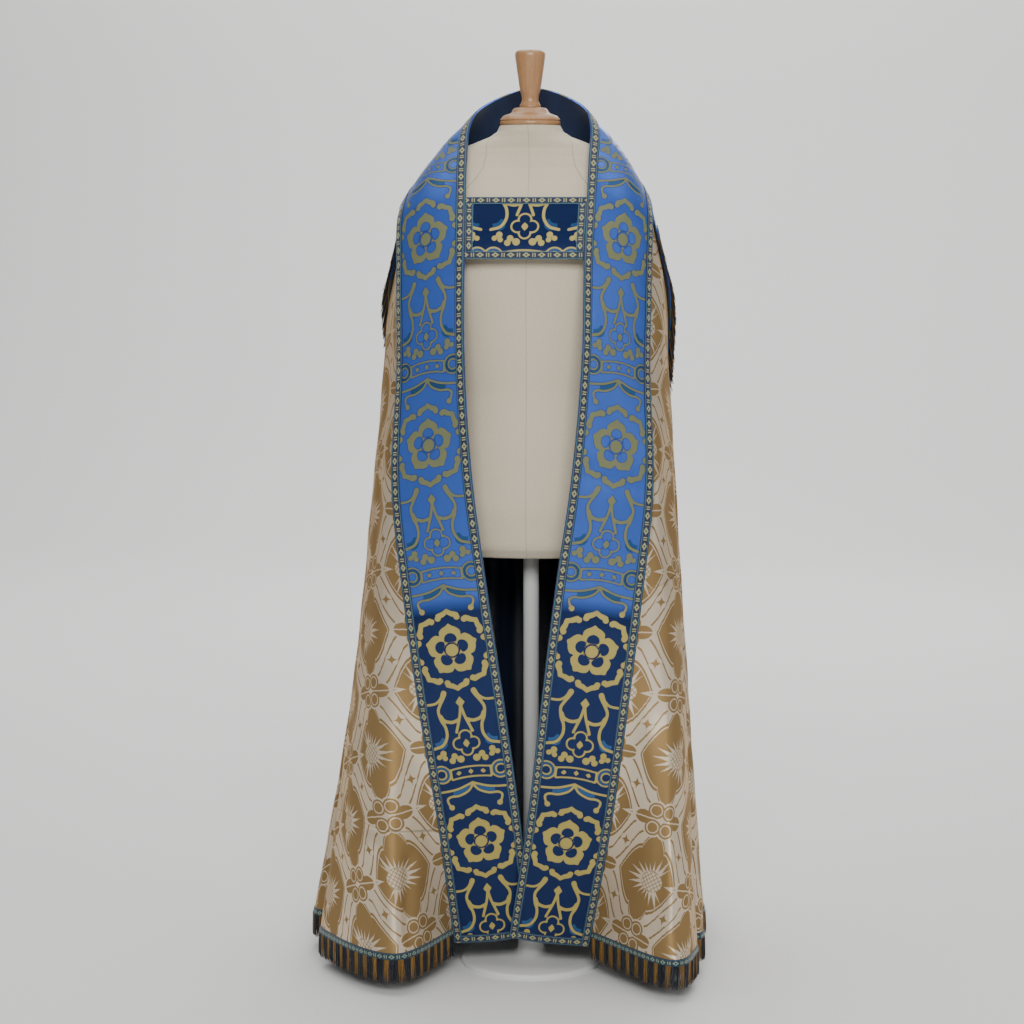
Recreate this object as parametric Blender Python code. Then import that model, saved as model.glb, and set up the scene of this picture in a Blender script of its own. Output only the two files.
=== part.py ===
"""Cope vestment on a dress form, as a Blender script. Metres, +Z up, the front faces -Y.

The cope is a half circle of brocade. Its straight edge carries a broad band, the orphrey, that stands up
behind the neck, folds over the shoulders and falls down both fronts. A short strap, the morse, joins the
fronts at the chest, a hood hangs from the band over the back, and a block fringe follows the hem.
Every cloth piece is a thin wall, cut from two smooth surfaces: band_point for the orphrey, which is placed by
its distance from the centre of the back, and body_point for the half circle, which is placed by its way
round the body and its way down.
"""

import math
from collections import namedtuple

import bmesh
import bpy
import numpy as np
from mathutils import Vector
from mathutils.bvhtree import BVHTree

MM = 0.001
SLOPE_STEP = 1e-4
CREASE_ANGLE = math.radians(50)

# Cloth thicknesses and clearances
BODY_WALL = 2 * MM
BAND_WALL = 2.5 * MM
BRAID_WALL = 1.0 * MM
FRINGE_WALL = 2 * MM
SEAM_GAP = 0.4 * MM
LAY_GAP = 0.4 * MM
MITRE_LEAST = 0.7

# Widths of the band and its trimmings
BAND_WIDTH = 148 * MM
BRAID_WIDTH = 16 * MM
HEADER_WIDTH = 13 * MM
FRINGE_DROP = 38 * MM
LOCK_TAPER = 0.74

# Where the parts of the cope end, as distances along the band from the centre of the back
HEM_RADIUS = 1645 * MM
CORNER_AT = 330 * MM
BODY_HEM_AT = 1622 * MM
MORSE_TOP_AT = 323 * MM
MORSE_FOOT_AT = 436 * MM
MORSE_BOW = 5 * MM
MORSE_BRAID_WIDTH = 13 * MM
MORSE_SHARES = [0.25, 0.5, 0.75]

# Heights of the half circle at the centre of the back
YOKE_Z = 1.402
HEM_Z = 0.062

# The band: the inner edge frames the neck and the front opening, and the outer edge is sewn to the half
# circle. Both are given at equal distances along the band, in millimetres, for the side at +X. The bulge
# rounds the band outwards between its edges, and the lap brings one inner edge in front of the other. The
# leans move the inner and the outer edges of both sides sideways, because the cope hangs a little askew.
BandRow = namedtuple(
    "BandRow",
    "along inner_x inner_y inner_z outer_x outer_y outer_z bulge lap inner_lean outer_lean",
)
BAND = [
    BandRow(0, 0, 75, 1546, 0, 110, 1402, 4, 0, 0, 0),
    BandRow(90, 82, 49, 1517, 88, 107, 1386, 14, 0, 0, -2),
    BandRow(180, 104, -23, 1477, 165, 67, 1379, 24, 0, 0, -5),
    BandRow(250, 104, -63, 1420, 203, 17, 1366, 22, 0, -1, -7),
    BandRow(320, 103, -93, 1357, 218, -35, 1328, 19, 0, -1, -8),
    BandRow(420, 101, -136, 1266, 219, -61, 1237, 12, 0, -1, -8),
    BandRow(600, 99, -175, 1090, 217, -93, 1062, 8, 0, 0, -7),
    BandRow(800, 84, -193, 892, 223, -137, 868, 5, 0, -1, -5),
    BandRow(1000, 57, -193, 695, 203, -159, 672, 4, 0, -2, -3),
    BandRow(1200, 31, -175, 498, 178, -156, 475, 4, 1, -1, -2),
    BandRow(1400, 8, -138, 303, 151, -128, 281, 4, 5, -2, -2),
    BandRow(1600, -16, -93, 110, 124, -88, 88, 4, 7, -9, -9),
    BandRow(1700, -28, -71, 14, 110, -68, -8, 4, 7, -13, -13),
]

# The half circle's rings, from the yoke seam at fall 0 to the hem at fall 1, in millimetres. Each ring runs
# from one front seam over the front fold's ridge, the side, the back corner and the centre of the back.
# The wearer's right side, at -X, hangs a little wider than the left.
RingRow = namedtuple(
    "RingRow", "fall ridge_rx ridge_ry ridge_lx ridge_ly side_rx side_ry side_lx side_ly back_y"
)
RINGS = [
    RingRow(0.12, 233, -41, 227, -41, 246, 25, 230, 25, 147),
    RingRow(0.25, 243, -65, 229, -69, 265, 27, 241, 15, 183),
    RingRow(0.40, 254, -95, 238, -103, 284, 23, 254, 1, 233),
    RingRow(0.55, 254, -127, 244, -133, 303, 11, 266, -19, 283),
    RingRow(0.70, 242, -161, 245, -165, 325, -11, 278, -45, 337),
    RingRow(0.85, 226, -195, 244, -195, 348, -39, 290, -77, 391),
    RingRow(1.00, 205, -229, 243, -225, 374, -73, 303, -115, 445),
]
RIDGE_TURN = 0.88
SIDE_TURN = 0.70
CORNER_TURN = 0.30
CORNER_SHARE = 0.74
CORNER_DEPTH = 0.86
YOKE_BLEND = 0.12
SIDE_DROP = 14 * MM
SEAM_TURNS = (-0.395, 0.325)

# The flutes that the half circle falls into round the sides and back, as crests and hollows by turns: where
# each lies round the body, how far it stands out or in at the hem in millimetres, and the fall where it
# begins.
Fold = namedtuple("Fold", "turn out start")
FOLDS = [
    Fold(-0.720, 0, 0.25),
    Fold(-0.645, -74, 0.22),
    Fold(-0.580, 0, 0.20),
    Fold(-0.520, -98, 0.12),
    Fold(-0.455, 10, 0.10),
    Fold(-0.395, -80, 0.09),
    Fold(-0.330, 38, 0.09),
    Fold(-0.275, -76, 0.13),
    Fold(-0.210, 46, 0.17),
    Fold(-0.155, -104, 0.15),
    Fold(-0.090, 50, 0.11),
    Fold(-0.030, -100, 0.09),
    Fold(0.025, 54, 0.10),
    Fold(0.085, -106, 0.14),
    Fold(0.150, 44, 0.18),
    Fold(0.205, -84, 0.15),
    Fold(0.265, 46, 0.11),
    Fold(0.325, -66, 0.09),
    Fold(0.385, 34, 0.09),
    Fold(0.450, -84, 0.11),
    Fold(0.510, 8, 0.14),
    Fold(0.570, -92, 0.18),
    Fold(0.630, 0, 0.22),
    Fold(0.680, -48, 0.25),
    Fold(0.730, 0, 0.25),
]
FOLD_GROWTH = 0.85
FOLD_ROUND = 0.95
FOLD_STEPS = 4
FRONT_STEPS = 8
BACK_STEPS = 12
BAND_BELOW = 16 * MM
FRINGE_INSET = 5 * MM
FALLS = [0.0, 0.04, 0.10, 0.18, 0.28, 0.40, 0.52, 0.64, 0.76, 0.88]

# The hood, a shield that hangs from the yoke seam: the turn where each line of its cloth leaves the seam,
# and the turn and the fall where it ends on the hood's edge. Both sides are alike.
HoodRow = namedtuple("HoodRow", "top_turn edge_turn edge_fall")
HOOD = [
    HoodRow(0.00, 0.000, 0.380),
    HoodRow(0.20, 0.130, 0.376),
    HoodRow(0.38, 0.240, 0.355),
    HoodRow(0.54, 0.330, 0.310),
    HoodRow(0.68, 0.430, 0.240),
    HoodRow(0.80, 0.545, 0.152),
    HoodRow(0.87, 0.680, 0.090),
    HoodRow(0.93, 0.850, 0.042),
]
HOOD_STAND = 5 * MM
HOOD_SHARES = [0.0, 0.15, 0.40, 0.68]
HOOD_HEADER_LEAST = 0.05
HOOD_FAN = 0.8
HOOD_EASE = 0.10
HOOD_FOLDS_FROM = 0.06
HOOD_LOCKS = 32
HOOD_LOCK_FALL = 0.5
HOOD_LOCK_LIFT = 0.12

# The dress form's body, from its foot to the top of its neck, in millimetres
FormRow = namedtuple("FormRow", "z half_width half_depth centre_y squareness")
FORM = [
    FormRow(715, 150, 98, 0, 2.3),
    FormRow(731, 164, 110, 0, 2.3),
    FormRow(800, 173, 118, 0, 2.3),
    FormRow(900, 168, 114, 0, 2.2),
    FormRow(1000, 154, 104, 0, 2.1),
    FormRow(1090, 162, 110, 0, 2.2),
    FormRow(1180, 178, 116, 0, 2.4),
    FormRow(1250, 186, 106, 0, 2.5),
    FormRow(1294, 190, 92, 1, 2.6),
    FormRow(1336, 190, 74, 3, 2.6),
    FormRow(1362, 184, 60, 6, 2.5),
    FormRow(1383, 171, 54, 8, 2.4),
    FormRow(1403, 147, 50, 5, 2.2),
    FormRow(1416, 122, 48, 0, 2.1),
    FormRow(1426, 95, 48, -7, 2.0),
    FormRow(1435, 71, 49, -12, 2.0),
    FormRow(1444, 57, 51, -17, 2.0),
    FormRow(1454, 52, 52, -21, 2.0),
]
FORM_SIDES = 28

# Turned pieces, as (radius, height) down the outer side, in millimetres
CAP_PROFILE = [(24, 30), (30, 27), (36, 20), (47, 16), (52, 10), (52, 3), (49, 0)]
FINIAL_PROFILE = [(20, 97), (25, 94), (26, 87), (22, 58), (17.5, 28), (14.5, 11), (18, 0)]
BASE_PROFILE = [(17, 62), (22, 60), (23, 30), (30, 16), (60, 12), (119, 9), (125, 6), (125, 0)]
POLE_RADIUS = 14 * MM
TURNED_STEPS = 24
REST_GAP = 0.3 * MM
SHOULDERS_FROM = 1.25

# Colours of the pieces, as linear RGB
CREAM_DAMASK = (0.52, 0.42, 0.28)
BLUE_SATIN = (0.012, 0.045, 0.20)
GALLOON = (0.16, 0.22, 0.18)
FRINGE_COLOUR = (0.06, 0.05, 0.05)
LINEN = (0.62, 0.54, 0.42)
BEECH = (0.42, 0.24, 0.13)
WHITE_PAINT = (0.70, 0.70, 0.69)


def column(rows, name):
    """One named column of a table, as an array."""
    return np.array([getattr(row, name) for row in rows], float)


def through(knots, values, at):
    """A smooth cubic through the rows of a table, whose slope at each row comes from its neighbours."""
    knots, values, at = (np.asarray(a, float) for a in (knots, values, at))
    slopes = np.gradient(values, knots, axis=0)
    i = np.clip(np.searchsorted(knots, at, side="right") - 1, 0, len(knots) - 2)
    step = knots[i + 1] - knots[i]
    t = (at - knots[i]) / step
    if values.ndim > 1:
        t, step = t[..., None], step[..., None]
    rise = t * t * (3 - 2 * t)
    return (
        values[i] * (1 - rise)
        + values[i + 1] * rise
        + slopes[i] * step * t * (1 - t) ** 2
        - slopes[i + 1] * step * t * t * (1 - t)
    )


def unit(vectors):
    return vectors / np.linalg.norm(vectors, axis=-1, keepdims=True)


def ease(t):
    """0 before 0, 1 after 1, and smooth between."""
    t = np.clip(t, 0, 1)
    return t * t * (3 - 2 * t)


def band_column(name, mirrored=1):
    """One column of the band's table in metres, with a row more, mirrored past the centre of the back."""
    values = column(BAND, name) * MM
    return np.insert(values, 0, values[1] * mirrored)


BAND_ALONG = band_column("along", -1)


def band_edge(edge, side, along):
    """The band's inner or outer edge at a distance along it, on the side at +X (1) or -X (-1)."""
    x, y, z, lean = (
        through(BAND_ALONG, band_column(f"{edge}_{name}", mirrored), along)
        for name, mirrored in (("x", -1), ("y", 1), ("z", 1), ("lean", 1))
    )
    return np.stack([x * side + lean, y, z], axis=-1)


def band_edges(side, along):
    """Both edges of the band, the inner one brought forward by the lap on the upper side."""
    inner = band_edge("inner", side, along)
    inner[..., 1] -= side * through(BAND_ALONG, band_column("lap"), along)
    return inner, band_edge("outer", side, along)


def band_flat(side, along, across):
    """A point on the straight lines between the band's edges, from 0 at the inner to 1 at the outer."""
    inner, outer = band_edges(side, along)
    return inner + (outer - inner) * across[..., None]


def band_point(side, along, across):
    """A point on the band's outer face: the straight line between its edges, rounded outwards."""
    down = band_flat(side, along + SLOPE_STEP, across) - band_flat(side, along - SLOPE_STEP, across)
    inner, outer = band_edges(side, along)
    out = unit(np.cross(down, outer - inner)) * side
    bulge = through(BAND_ALONG, band_column("bulge"), along)
    return band_flat(side, along, across) + out * (bulge * 4 * across * (1 - across))[..., None]


def band_normal(side, along, across):
    """The band's outward normal."""
    e = SLOPE_STEP
    down = band_point(side, along + e, across) - band_point(side, along - e, across)
    over = band_point(side, along, across + e) - band_point(side, along, across - e)
    return unit(np.cross(down, over)) * side


TURNS = np.array(
    [-1, -RIDGE_TURN, -SIDE_TURN, -CORNER_TURN, 0, CORNER_TURN, SIDE_TURN, RIDGE_TURN, 1]
)
RING_FALLS = np.concatenate([[0], column(RINGS, "fall")])


def seam_point(turn):
    """The yoke seam, across the back and over both shoulders: the band's outer edge there."""
    along = np.abs(turn) * CORNER_AT
    right = np.asarray(turn < 0)[..., None]
    return np.where(right, band_edge("outer", -1, along), band_edge("outer", 1, along))


def ring_column(x, y, z_low, turn):
    """One control line of the rings down the body: its yoke seam point, then its rows."""
    start = seam_point(np.array([turn]))[0]
    falls = column(RINGS, "fall")
    z = start[2] - falls * (start[2] - z_low)
    rows = np.stack([x * MM, y * MM, z], axis=1)
    return np.vstack([start, rows])


def ring_columns():
    """The seven control lines between the front seams, in the order of TURNS."""
    back = column(RINGS, "back_y")
    lines = []
    for side, mark in ((-1, "r"), (1, "l")):
        ridge_x, ridge_y, side_x, side_y = (
            column(RINGS, f"{place}_{mark}{axis}") for place in ("ridge", "side") for axis in "xy"
        )
        ridge = ring_column(side * ridge_x, ridge_y, HEM_Z, side * RIDGE_TURN)
        flank = ring_column(side * side_x, side_y, HEM_Z, side * SIDE_TURN)
        flank[1:, 2] -= SIDE_DROP * (1 - column(RINGS, "fall"))
        corner = ring_column(
            side * side_x * CORNER_SHARE, back * CORNER_DEPTH, HEM_Z, side * CORNER_TURN
        )
        lines.append([ridge, flank, corner][::-side])
    centre = ring_column(0 * back, back, HEM_Z, 0)
    return lines[0] + [centre] + lines[1]


RING_COLUMNS = ring_columns()
HEADER_FALL = HEADER_WIDTH / (YOKE_Z - HEM_Z)


def fall_to_along(fall):
    return CORNER_AT + fall * (BODY_HEM_AT - CORNER_AT)


def ring_point(turn, fall):
    """The half circle's broad form, without its flutes: a spline round through the control lines."""
    weights = through(TURNS, np.eye(len(TURNS)), turn)
    points = [band_edges(-1, fall_to_along(fall))[1]]
    points += [through(RING_FALLS, line, fall) for line in RING_COLUMNS]
    points += [band_edges(1, fall_to_along(fall))[1]]
    ring = sum(weights[..., i, None] * point for i, point in enumerate(points))
    top = [seam_point(np.full_like(turn, t)) for t in TURNS]
    at_seam = sum(weights[..., i, None] * point for i, point in enumerate(top))
    return ring + (1 - ease(fall / YOKE_BLEND))[..., None] * (seam_point(turn) - at_seam)


def slopes_of(surface, turn, fall):
    """A surface's directions round the body and down it."""
    e = SLOPE_STEP
    fall = np.maximum(fall, 2 * e)
    over = surface(turn + e, fall) - surface(turn - e, fall)
    down = surface(turn, fall + e) - surface(turn, fall - e)
    return unit(over), unit(down)


def ring_normal(turn, fall):
    over, down = slopes_of(ring_point, turn, fall)
    return unit(np.cross(over, down))


def level(vectors):
    """The vectors turned into the horizontal."""
    return unit(vectors * [1, 1, 0])


def fold_shape(turn, fall):
    """How far the flutes stand out of the broad form, and how far they widen sideways there. Between two
    folds of the table the height is half a cosine wave, and the sideways shift, a whole sine wave, rounds
    both folds. Each fold grows from its start to its full depth at the hem."""
    places, outs, starts = (column(FOLDS, name) for name in ("turn", "out", "start"))
    i = np.clip(np.searchsorted(places, turn, side="right") - 1, 0, len(FOLDS) - 2)
    step = places[i + 1] - places[i]
    share = np.clip((turn - places[i]) / step, 0, 1)
    grown = [np.clip((fall - starts[k]) / (1 - starts[k]), 0, 1) ** FOLD_GROWTH for k in (i, i + 1)]
    wave = 0.5 - 0.5 * np.cos(math.pi * share)
    height = outs[i] * grown[0] * (1 - wave) + outs[i + 1] * grown[1] * wave
    shift = FOLD_ROUND * step * np.sin(2 * math.pi * share) / (2 * math.pi)
    return height * MM, shift * (grown[0] * (1 - wave) + grown[1] * wave)


def body_point(turn, fall):
    """A point on the half circle's outer face."""
    height, shift = fold_shape(turn, fall)
    out = level(ring_normal(turn + shift, fall))
    return ring_point(turn + shift, fall) + out * height[..., None]


def body_lean(turn, fall):
    """The body's outward normal, shorter where its two directions come close to one another."""
    over, down = slopes_of(body_point, turn, fall)
    return np.cross(over, down)


BAND_STATIONS = np.concatenate([
    np.linspace(0, CORNER_AT, BACK_STEPS + 1),
    fall_to_along(np.array([*FALLS[1:], 1 - HEADER_FALL, 1])),
    [BODY_HEM_AT + BAND_BELOW],
])


def seam_normal(side, along):
    """The direction in which the band's and the half circle's walls meet along their seam."""
    fall = np.maximum((along - CORNER_AT) / (BODY_HEM_AT - CORNER_AT), 0)
    turn = side * np.minimum(along / CORNER_AT, 1)
    return unit(band_normal(side, along, np.ones_like(along)) + body_lean(turn, fall))


def seam(side, along):
    """The half circle's edge on its seam: the band's outer edge, straight between the band's stations, and
    a gap away from it. Also the direction in which the walls meet."""
    _, edge = band_edges(side, BAND_STATIONS)
    on_edge = np.stack([np.interp(along, BAND_STATIONS, edge[:, k]) for k in range(3)], axis=1)
    run = band_edges(side, along + SLOPE_STEP)[1] - band_edges(side, along - SLOPE_STEP)[1]
    meet = seam_normal(side, along)
    away = unit(np.cross(run, meet)) * -side
    return on_edge + away * SEAM_GAP, meet


def material(name, colour, roughness, metallic=0.0):
    made = bpy.data.materials.new(name)
    made.use_nodes = True
    shader = made.node_tree.nodes["Principled BSDF"]
    shader.inputs["Base Color"].default_value = (*colour, 1)
    shader.inputs["Roughness"].default_value = roughness
    shader.inputs["Metallic"].default_value = metallic
    made.diffuse_color = (*colour, 1)
    return made


def new_object(name, vertices, faces, finish):
    """A named object from vertices and faces, its faces turned outwards."""
    mesh = bpy.data.meshes.new(name)
    mesh.from_pydata([tuple(v) for v in vertices], [], faces)
    shell = bmesh.new()
    shell.from_mesh(mesh)
    if shell.calc_volume(signed=True) < 0:
        bmesh.ops.reverse_faces(shell, faces=shell.faces[:])
    shell.to_mesh(mesh)
    shell.free()
    mesh.materials.append(finish)
    mesh.shade_smooth()
    mesh.set_sharp_from_angle(angle=CREASE_ANGLE)
    made = bpy.data.objects.new(name, mesh)
    bpy.context.scene.collection.objects.link(made)
    return made


def both_faces(corners, behind):
    """A cell of a wall, front and back, always split along the same diagonal, so that a piece laid on
    another follows its facets."""
    a, b, c, d = corners
    front = [[a, b, c], [a, c, d]]
    return front + [[v + behind for v in face[::-1]] for face in front]


def rim(a, b, behind):
    """The strip that closes a wall between its front and back edge."""
    return [[b, a, a + behind], [b, a + behind, b + behind]]


def cloth(name, points, low, high, under, over, finish, kept=None):
    """A wall over a grid of points, from low along the directions under to high along the directions over.
    Only the kept cells are made, so a frame is one closed piece too."""
    rows, columns = points.shape[:2]
    kept = np.ones((rows - 1, columns - 1), bool) if kept is None else kept
    vertices = np.concatenate(
        [(points + over * high).reshape(-1, 3), (points + under * low).reshape(-1, 3)]
    )
    behind = rows * columns

    def at(r, c):
        return r * columns + c

    def is_kept(r, c):
        return 0 <= r < rows - 1 and 0 <= c < columns - 1 and kept[r, c]

    faces = []
    for r, c in zip(*np.nonzero(kept)):
        corners = [at(r, c), at(r + 1, c), at(r + 1, c + 1), at(r, c + 1)]
        faces += both_faces(corners, behind)
        for k, cell in enumerate([(r, c - 1), (r + 1, c), (r, c + 1), (r - 1, c)]):
            if not is_kept(*cell):
                faces += rim(corners[k], corners[(k + 1) % 4], behind)
    used, faces = np.unique(np.array(faces), return_inverse=True)
    return new_object(name, vertices[used], faces.reshape(-1, 3).tolist(), finish)


# The orphrey band and its braids

BRAID_SHARE = BRAID_WIDTH / BAND_WIDTH
BAND_ACROSS = np.array([0, BRAID_SHARE, 0.37, 0.63, 1 - BRAID_SHARE, 1])


def band_grid(side):
    """The band's points and normals: rows across it, stations along it, ending on the hem's circle."""
    ends = np.sqrt(HEM_RADIUS**2 - (BAND_ACROSS * BAND_WIDTH) ** 2)
    along = np.tile(BAND_STATIONS, (len(BAND_ACROSS), 1))
    along[:, -1] = ends
    along[:, 0] += SEAM_GAP / 2
    across = np.broadcast_to(BAND_ACROSS[:, None], along.shape)
    return along, band_point(side, along, across), band_normal(side, along, across)


def make_band(side, mark, blue, galloon):
    """One half of the orphrey, its outer edge mitred to the half circle, with a braid along each edge."""
    along, points, normals = band_grid(side)
    under = normals.copy()
    shared = seam_normal(side, along[-1])
    mitre = np.sum(normals[-1] * shared, axis=-1, keepdims=True)
    under[-1] = shared / np.maximum(mitre, MITRE_LEAST)
    cloth(f"orphrey_{mark}", points, -BAND_WALL, 0, under, normals, blue)
    high = LAY_GAP + BRAID_WALL
    for place, rows in (("inner", slice(0, 2)), ("outer", slice(-2, None))):
        name = f"braid_{place}_{mark}"
        cloth(name, points[rows], LAY_GAP, high, normals[rows], normals[rows], galloon)

    foot, above = points[1:-1, -1], points[1:-1, -2]
    share = BRAID_WIDTH / np.linalg.norm(foot - above, axis=-1, keepdims=True)
    grid = np.stack([foot + (above - foot) * share, foot])
    lean = normals[1:-1, -1] + (normals[1:-1, -2] - normals[1:-1, -1]) * share
    inset = unit(foot[-1] - foot[0]) * SEAM_GAP
    grid[:, 0] += inset
    grid[:, -1] -= inset
    out = np.stack([unit(lean), normals[1:-1, -1]])
    cloth(f"braid_end_{mark}", grid, LAY_GAP, high, out, out, galloon)


# The half circle

BODY_FALLS = np.array([*FALLS, 1 - HEADER_FALL, 1.0])


def body_turns():
    """Columns round the body: evenly from fold to fold, and evenly from the folds to each front seam."""
    places = column(FOLDS, "turn")
    columns = [np.linspace(-1, places[0], FRONT_STEPS + 1)[:-1]]
    columns += [np.linspace(a, b, FOLD_STEPS + 1)[:-1] for a, b in zip(places[:-1], places[1:])]
    columns.append(np.linspace(places[-1], 1, FRONT_STEPS + 1))
    return np.concatenate(columns)


BODY_TURNS = body_turns()


def body_grid():
    """The half circle's points, outer normals and inner normals. Its seam edges keep clear of the band and
    share its mitre."""
    fall, turn = np.meshgrid(BODY_FALLS, BODY_TURNS, indexing="ij")
    points = body_point(turn, fall)
    lean = body_lean(turn, fall)
    lean[0, 0], lean[0, -1] = lean[1, 0], lean[1, -1]
    normals = unit(lean)
    inner = normals.copy()
    right, left = BODY_TURNS < 0, BODY_TURNS >= 0
    for edge, side, along in (
        ((0, right), -1, -BODY_TURNS[right] * CORNER_AT),
        ((0, left), 1, BODY_TURNS[left] * CORNER_AT),
        ((slice(1, None), 0), -1, fall_to_along(BODY_FALLS[1:])),
        ((slice(1, None), -1), 1, fall_to_along(BODY_FALLS[1:])),
    ):
        points[edge], shared = seam(side, along)
        mitre = np.sum(normals[edge] * shared, axis=-1, keepdims=True)
        inner[edge] = shared / np.maximum(mitre, MITRE_LEAST)
    return points, normals, inner


def make_body(damask):
    """The half circle in three widths of brocade, joined by a seam down each side of the back."""
    points, normals, inner = body_grid()
    over, _ = slopes_of(body_point, *np.meshgrid(BODY_TURNS, BODY_FALLS))
    last = len(BODY_TURNS) - 1
    cuts = [0, *(int(np.argmin(abs(BODY_TURNS - turn))) for turn in SEAM_TURNS), last]
    for name, a, b in zip(("body_right", "body_back", "body_left"), cuts[:-1], cuts[1:]):
        span = slice(a, b + 1)
        grid = points[:, span].copy()
        if a > 0:
            grid[:, 0] += over[:, a] * SEAM_GAP / 2
        if b < last:
            grid[:, -1] -= over[:, b] * SEAM_GAP / 2
        cloth(name, grid, -BODY_WALL, 0, inner[:, span], normals[:, span], damask)
    return points, normals


def comb(name, top, foot, normals_top, normals_foot, drop, low, finish):
    """A fringe: a header strip from top to foot, and below it one lock in each column, which narrows."""
    count = len(top)
    middle = (foot[:-1] + foot[1:]) / 2
    hang = (drop[:-1] + drop[1:]) / 2
    left = middle + (foot[:-1] - middle) * LOCK_TAPER + hang
    right = middle + (foot[1:] - middle) * LOCK_TAPER + hang
    tip_out = unit(normals_foot[:-1] + normals_foot[1:])
    lines = (top, foot, left, right)
    outs = (normals_top, normals_foot, tip_out, tip_out)
    high = np.concatenate([p + n * (low + FRINGE_WALL) for p, n in zip(lines, outs)])
    back = np.concatenate([p + n * low for p, n in zip(lines, outs)])
    behind = len(high)
    faces = rim(0, count, behind) + rim(2 * count - 1, count - 1, behind)
    for i in range(count - 1):
        header = [i, i + count, i + count + 1, i + 1]
        lock = [i + count, i + 2 * count, i + 3 * count - 1, i + count + 1]
        faces += both_faces(header, behind) + both_faces(lock, behind) + rim(i + 1, i, behind)
        for k in range(3):
            faces += rim(lock[k], lock[k + 1], behind)
    return new_object(name, np.concatenate([high, back]), faces, finish)


def make_hem_fringe(points, normals, finish):
    """The block fringe: its header lies on the hem, and its locks hang below it."""
    foot, top = points[-1].copy(), points[-2].copy()
    for line in (foot, top):
        line[0] += unit(line[1] - line[0]) * FRINGE_INSET
        line[-1] += unit(line[-2] - line[-1]) * FRINGE_INSET
    drop = np.tile([0, 0, -FRINGE_DROP], (len(foot), 1))
    comb("hem_fringe", top, foot, normals[-2], normals[-1], drop, LAY_GAP, finish)


# The hood

def hood_grid():
    """The hood's points, normals and directions down: columns that fan out from its top to its edge. It
    stands clear of the flutes' crests under it."""
    t = np.linspace(-1, 1, HOOD_LOCKS + 1) * HOOD[-1].top_turn
    tops, edge_turns, edge_falls = (
        column(HOOD, name) for name in ("top_turn", "edge_turn", "edge_fall")
    )
    edge_turn = np.sign(t) * through(tops, edge_turns, np.abs(t))
    edge_fall = through(tops, edge_falls, np.abs(t))
    start = 2 * SEAM_GAP / (YOKE_Z - HEM_Z)
    length = (edge_fall - start) * (YOKE_Z - HEM_Z)
    header = 1 - np.minimum(HEADER_WIDTH / length, 1 - HOOD_SHARES[-1] - HOOD_HEADER_LEAST)
    share = np.array([np.full_like(t, r) for r in HOOD_SHARES] + [header, np.ones_like(t)])
    turn = t + (edge_turn - t) * share**HOOD_FAN
    fall = start + (edge_fall - start) * share
    grown = np.clip((fall - HOOD_FOLDS_FROM) / (1 - HOOD_FOLDS_FROM), 0, 1)
    crest = column(FOLDS, "out").max() * MM * grown
    stand = LAY_GAP * 2 + (HOOD_STAND + crest) * ease(fall / HOOD_EASE)
    _, down = slopes_of(ring_point, turn, fall)
    normals = ring_normal(turn, fall)
    return ring_point(turn, fall) + normals * stand[..., None], normals, down


def make_hood(blue, fringe_finish):
    """The hood, a shield of band cloth that hangs over the back, and the fringe round its edge."""
    points, normals, down = hood_grid()
    cloth("hood", points, 0, BODY_WALL, normals, normals, blue)
    foot = points[-1]
    along = unit(np.gradient(foot, axis=0))
    away = unit(np.cross(along, normals[-1]))
    away = np.where(np.sum(away * down[-1], axis=-1, keepdims=True) < 0, -away, away)
    drop = unit(away + HOOD_LOCK_FALL * down[-1] + HOOD_LOCK_LIFT * normals[-1]) * FRINGE_DROP
    low = BODY_WALL + LAY_GAP
    comb("hood_fringe", points[-2], foot, normals[-2], normals[-1], drop, low, fringe_finish)


# The morse

def make_morse(blue, galloon):
    """The strap between the fronts, slightly bowed, and the braid that frames it."""
    border = MORSE_BRAID_WIDTH
    middle = (MORSE_TOP_AT + MORSE_FOOT_AT) / 2
    rows = np.array([MORSE_TOP_AT, MORSE_TOP_AT + border, middle, MORSE_FOOT_AT - border, MORSE_FOOT_AT])
    zeros = np.zeros_like(rows)
    right, _ = band_edges(-1, rows)
    left, _ = band_edges(1, rows)
    for side, edge in ((-1, right), (1, left)):
        behind = edge - band_normal(side, rows, zeros) * BAND_WALL
        edge[:, 0] = side * np.minimum(np.abs(edge[:, 0]), np.abs(behind[:, 0])) - side * SEAM_GAP
    share = border / np.linalg.norm(left[0] - right[0])
    across = np.array([0, share, *MORSE_SHARES, 1 - share, 1])
    grid = right[:, None] * (1 - across)[None, :, None] + left[:, None] * across[None, :, None]
    grid[..., 1] -= MORSE_BOW * 4 * across * (1 - across)
    over = np.gradient(grid, axis=1)
    down = np.gradient(grid, axis=0)
    normals = unit(np.cross(down, over))
    cloth("morse", grid, -BAND_WALL, 0, normals, normals, blue)
    frame = np.ones((len(rows) - 1, len(across) - 1), bool)
    frame[1:-1, 1:-1] = False
    cloth("morse_braid", grid, LAY_GAP, LAY_GAP + BRAID_WALL, normals, normals, galloon, frame)


# The dress form

def turned(name, profile, foot, finish):
    """A turned piece on its foot's centre: its profile, spun round the upright axis by a Screw."""
    points = [(0, profile[0][1]), *profile, (0, profile[-1][1])]
    mesh = bpy.data.meshes.new(name)
    outline = [(r * MM, 0, z * MM) for r, z in points]
    mesh.from_pydata(outline, [(i, i + 1) for i in range(len(points) - 1)], [])
    mesh.materials.append(finish)
    made = bpy.data.objects.new(name, mesh)
    made.location = foot
    bpy.context.scene.collection.objects.link(made)
    screw = made.modifiers.new("turn", "SCREW")
    screw.steps = screw.render_steps = TURNED_STEPS
    screw.use_merge_vertices = True
    screw.merge_threshold = 0.00005
    screw.use_smooth_shade = True
    return made


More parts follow.
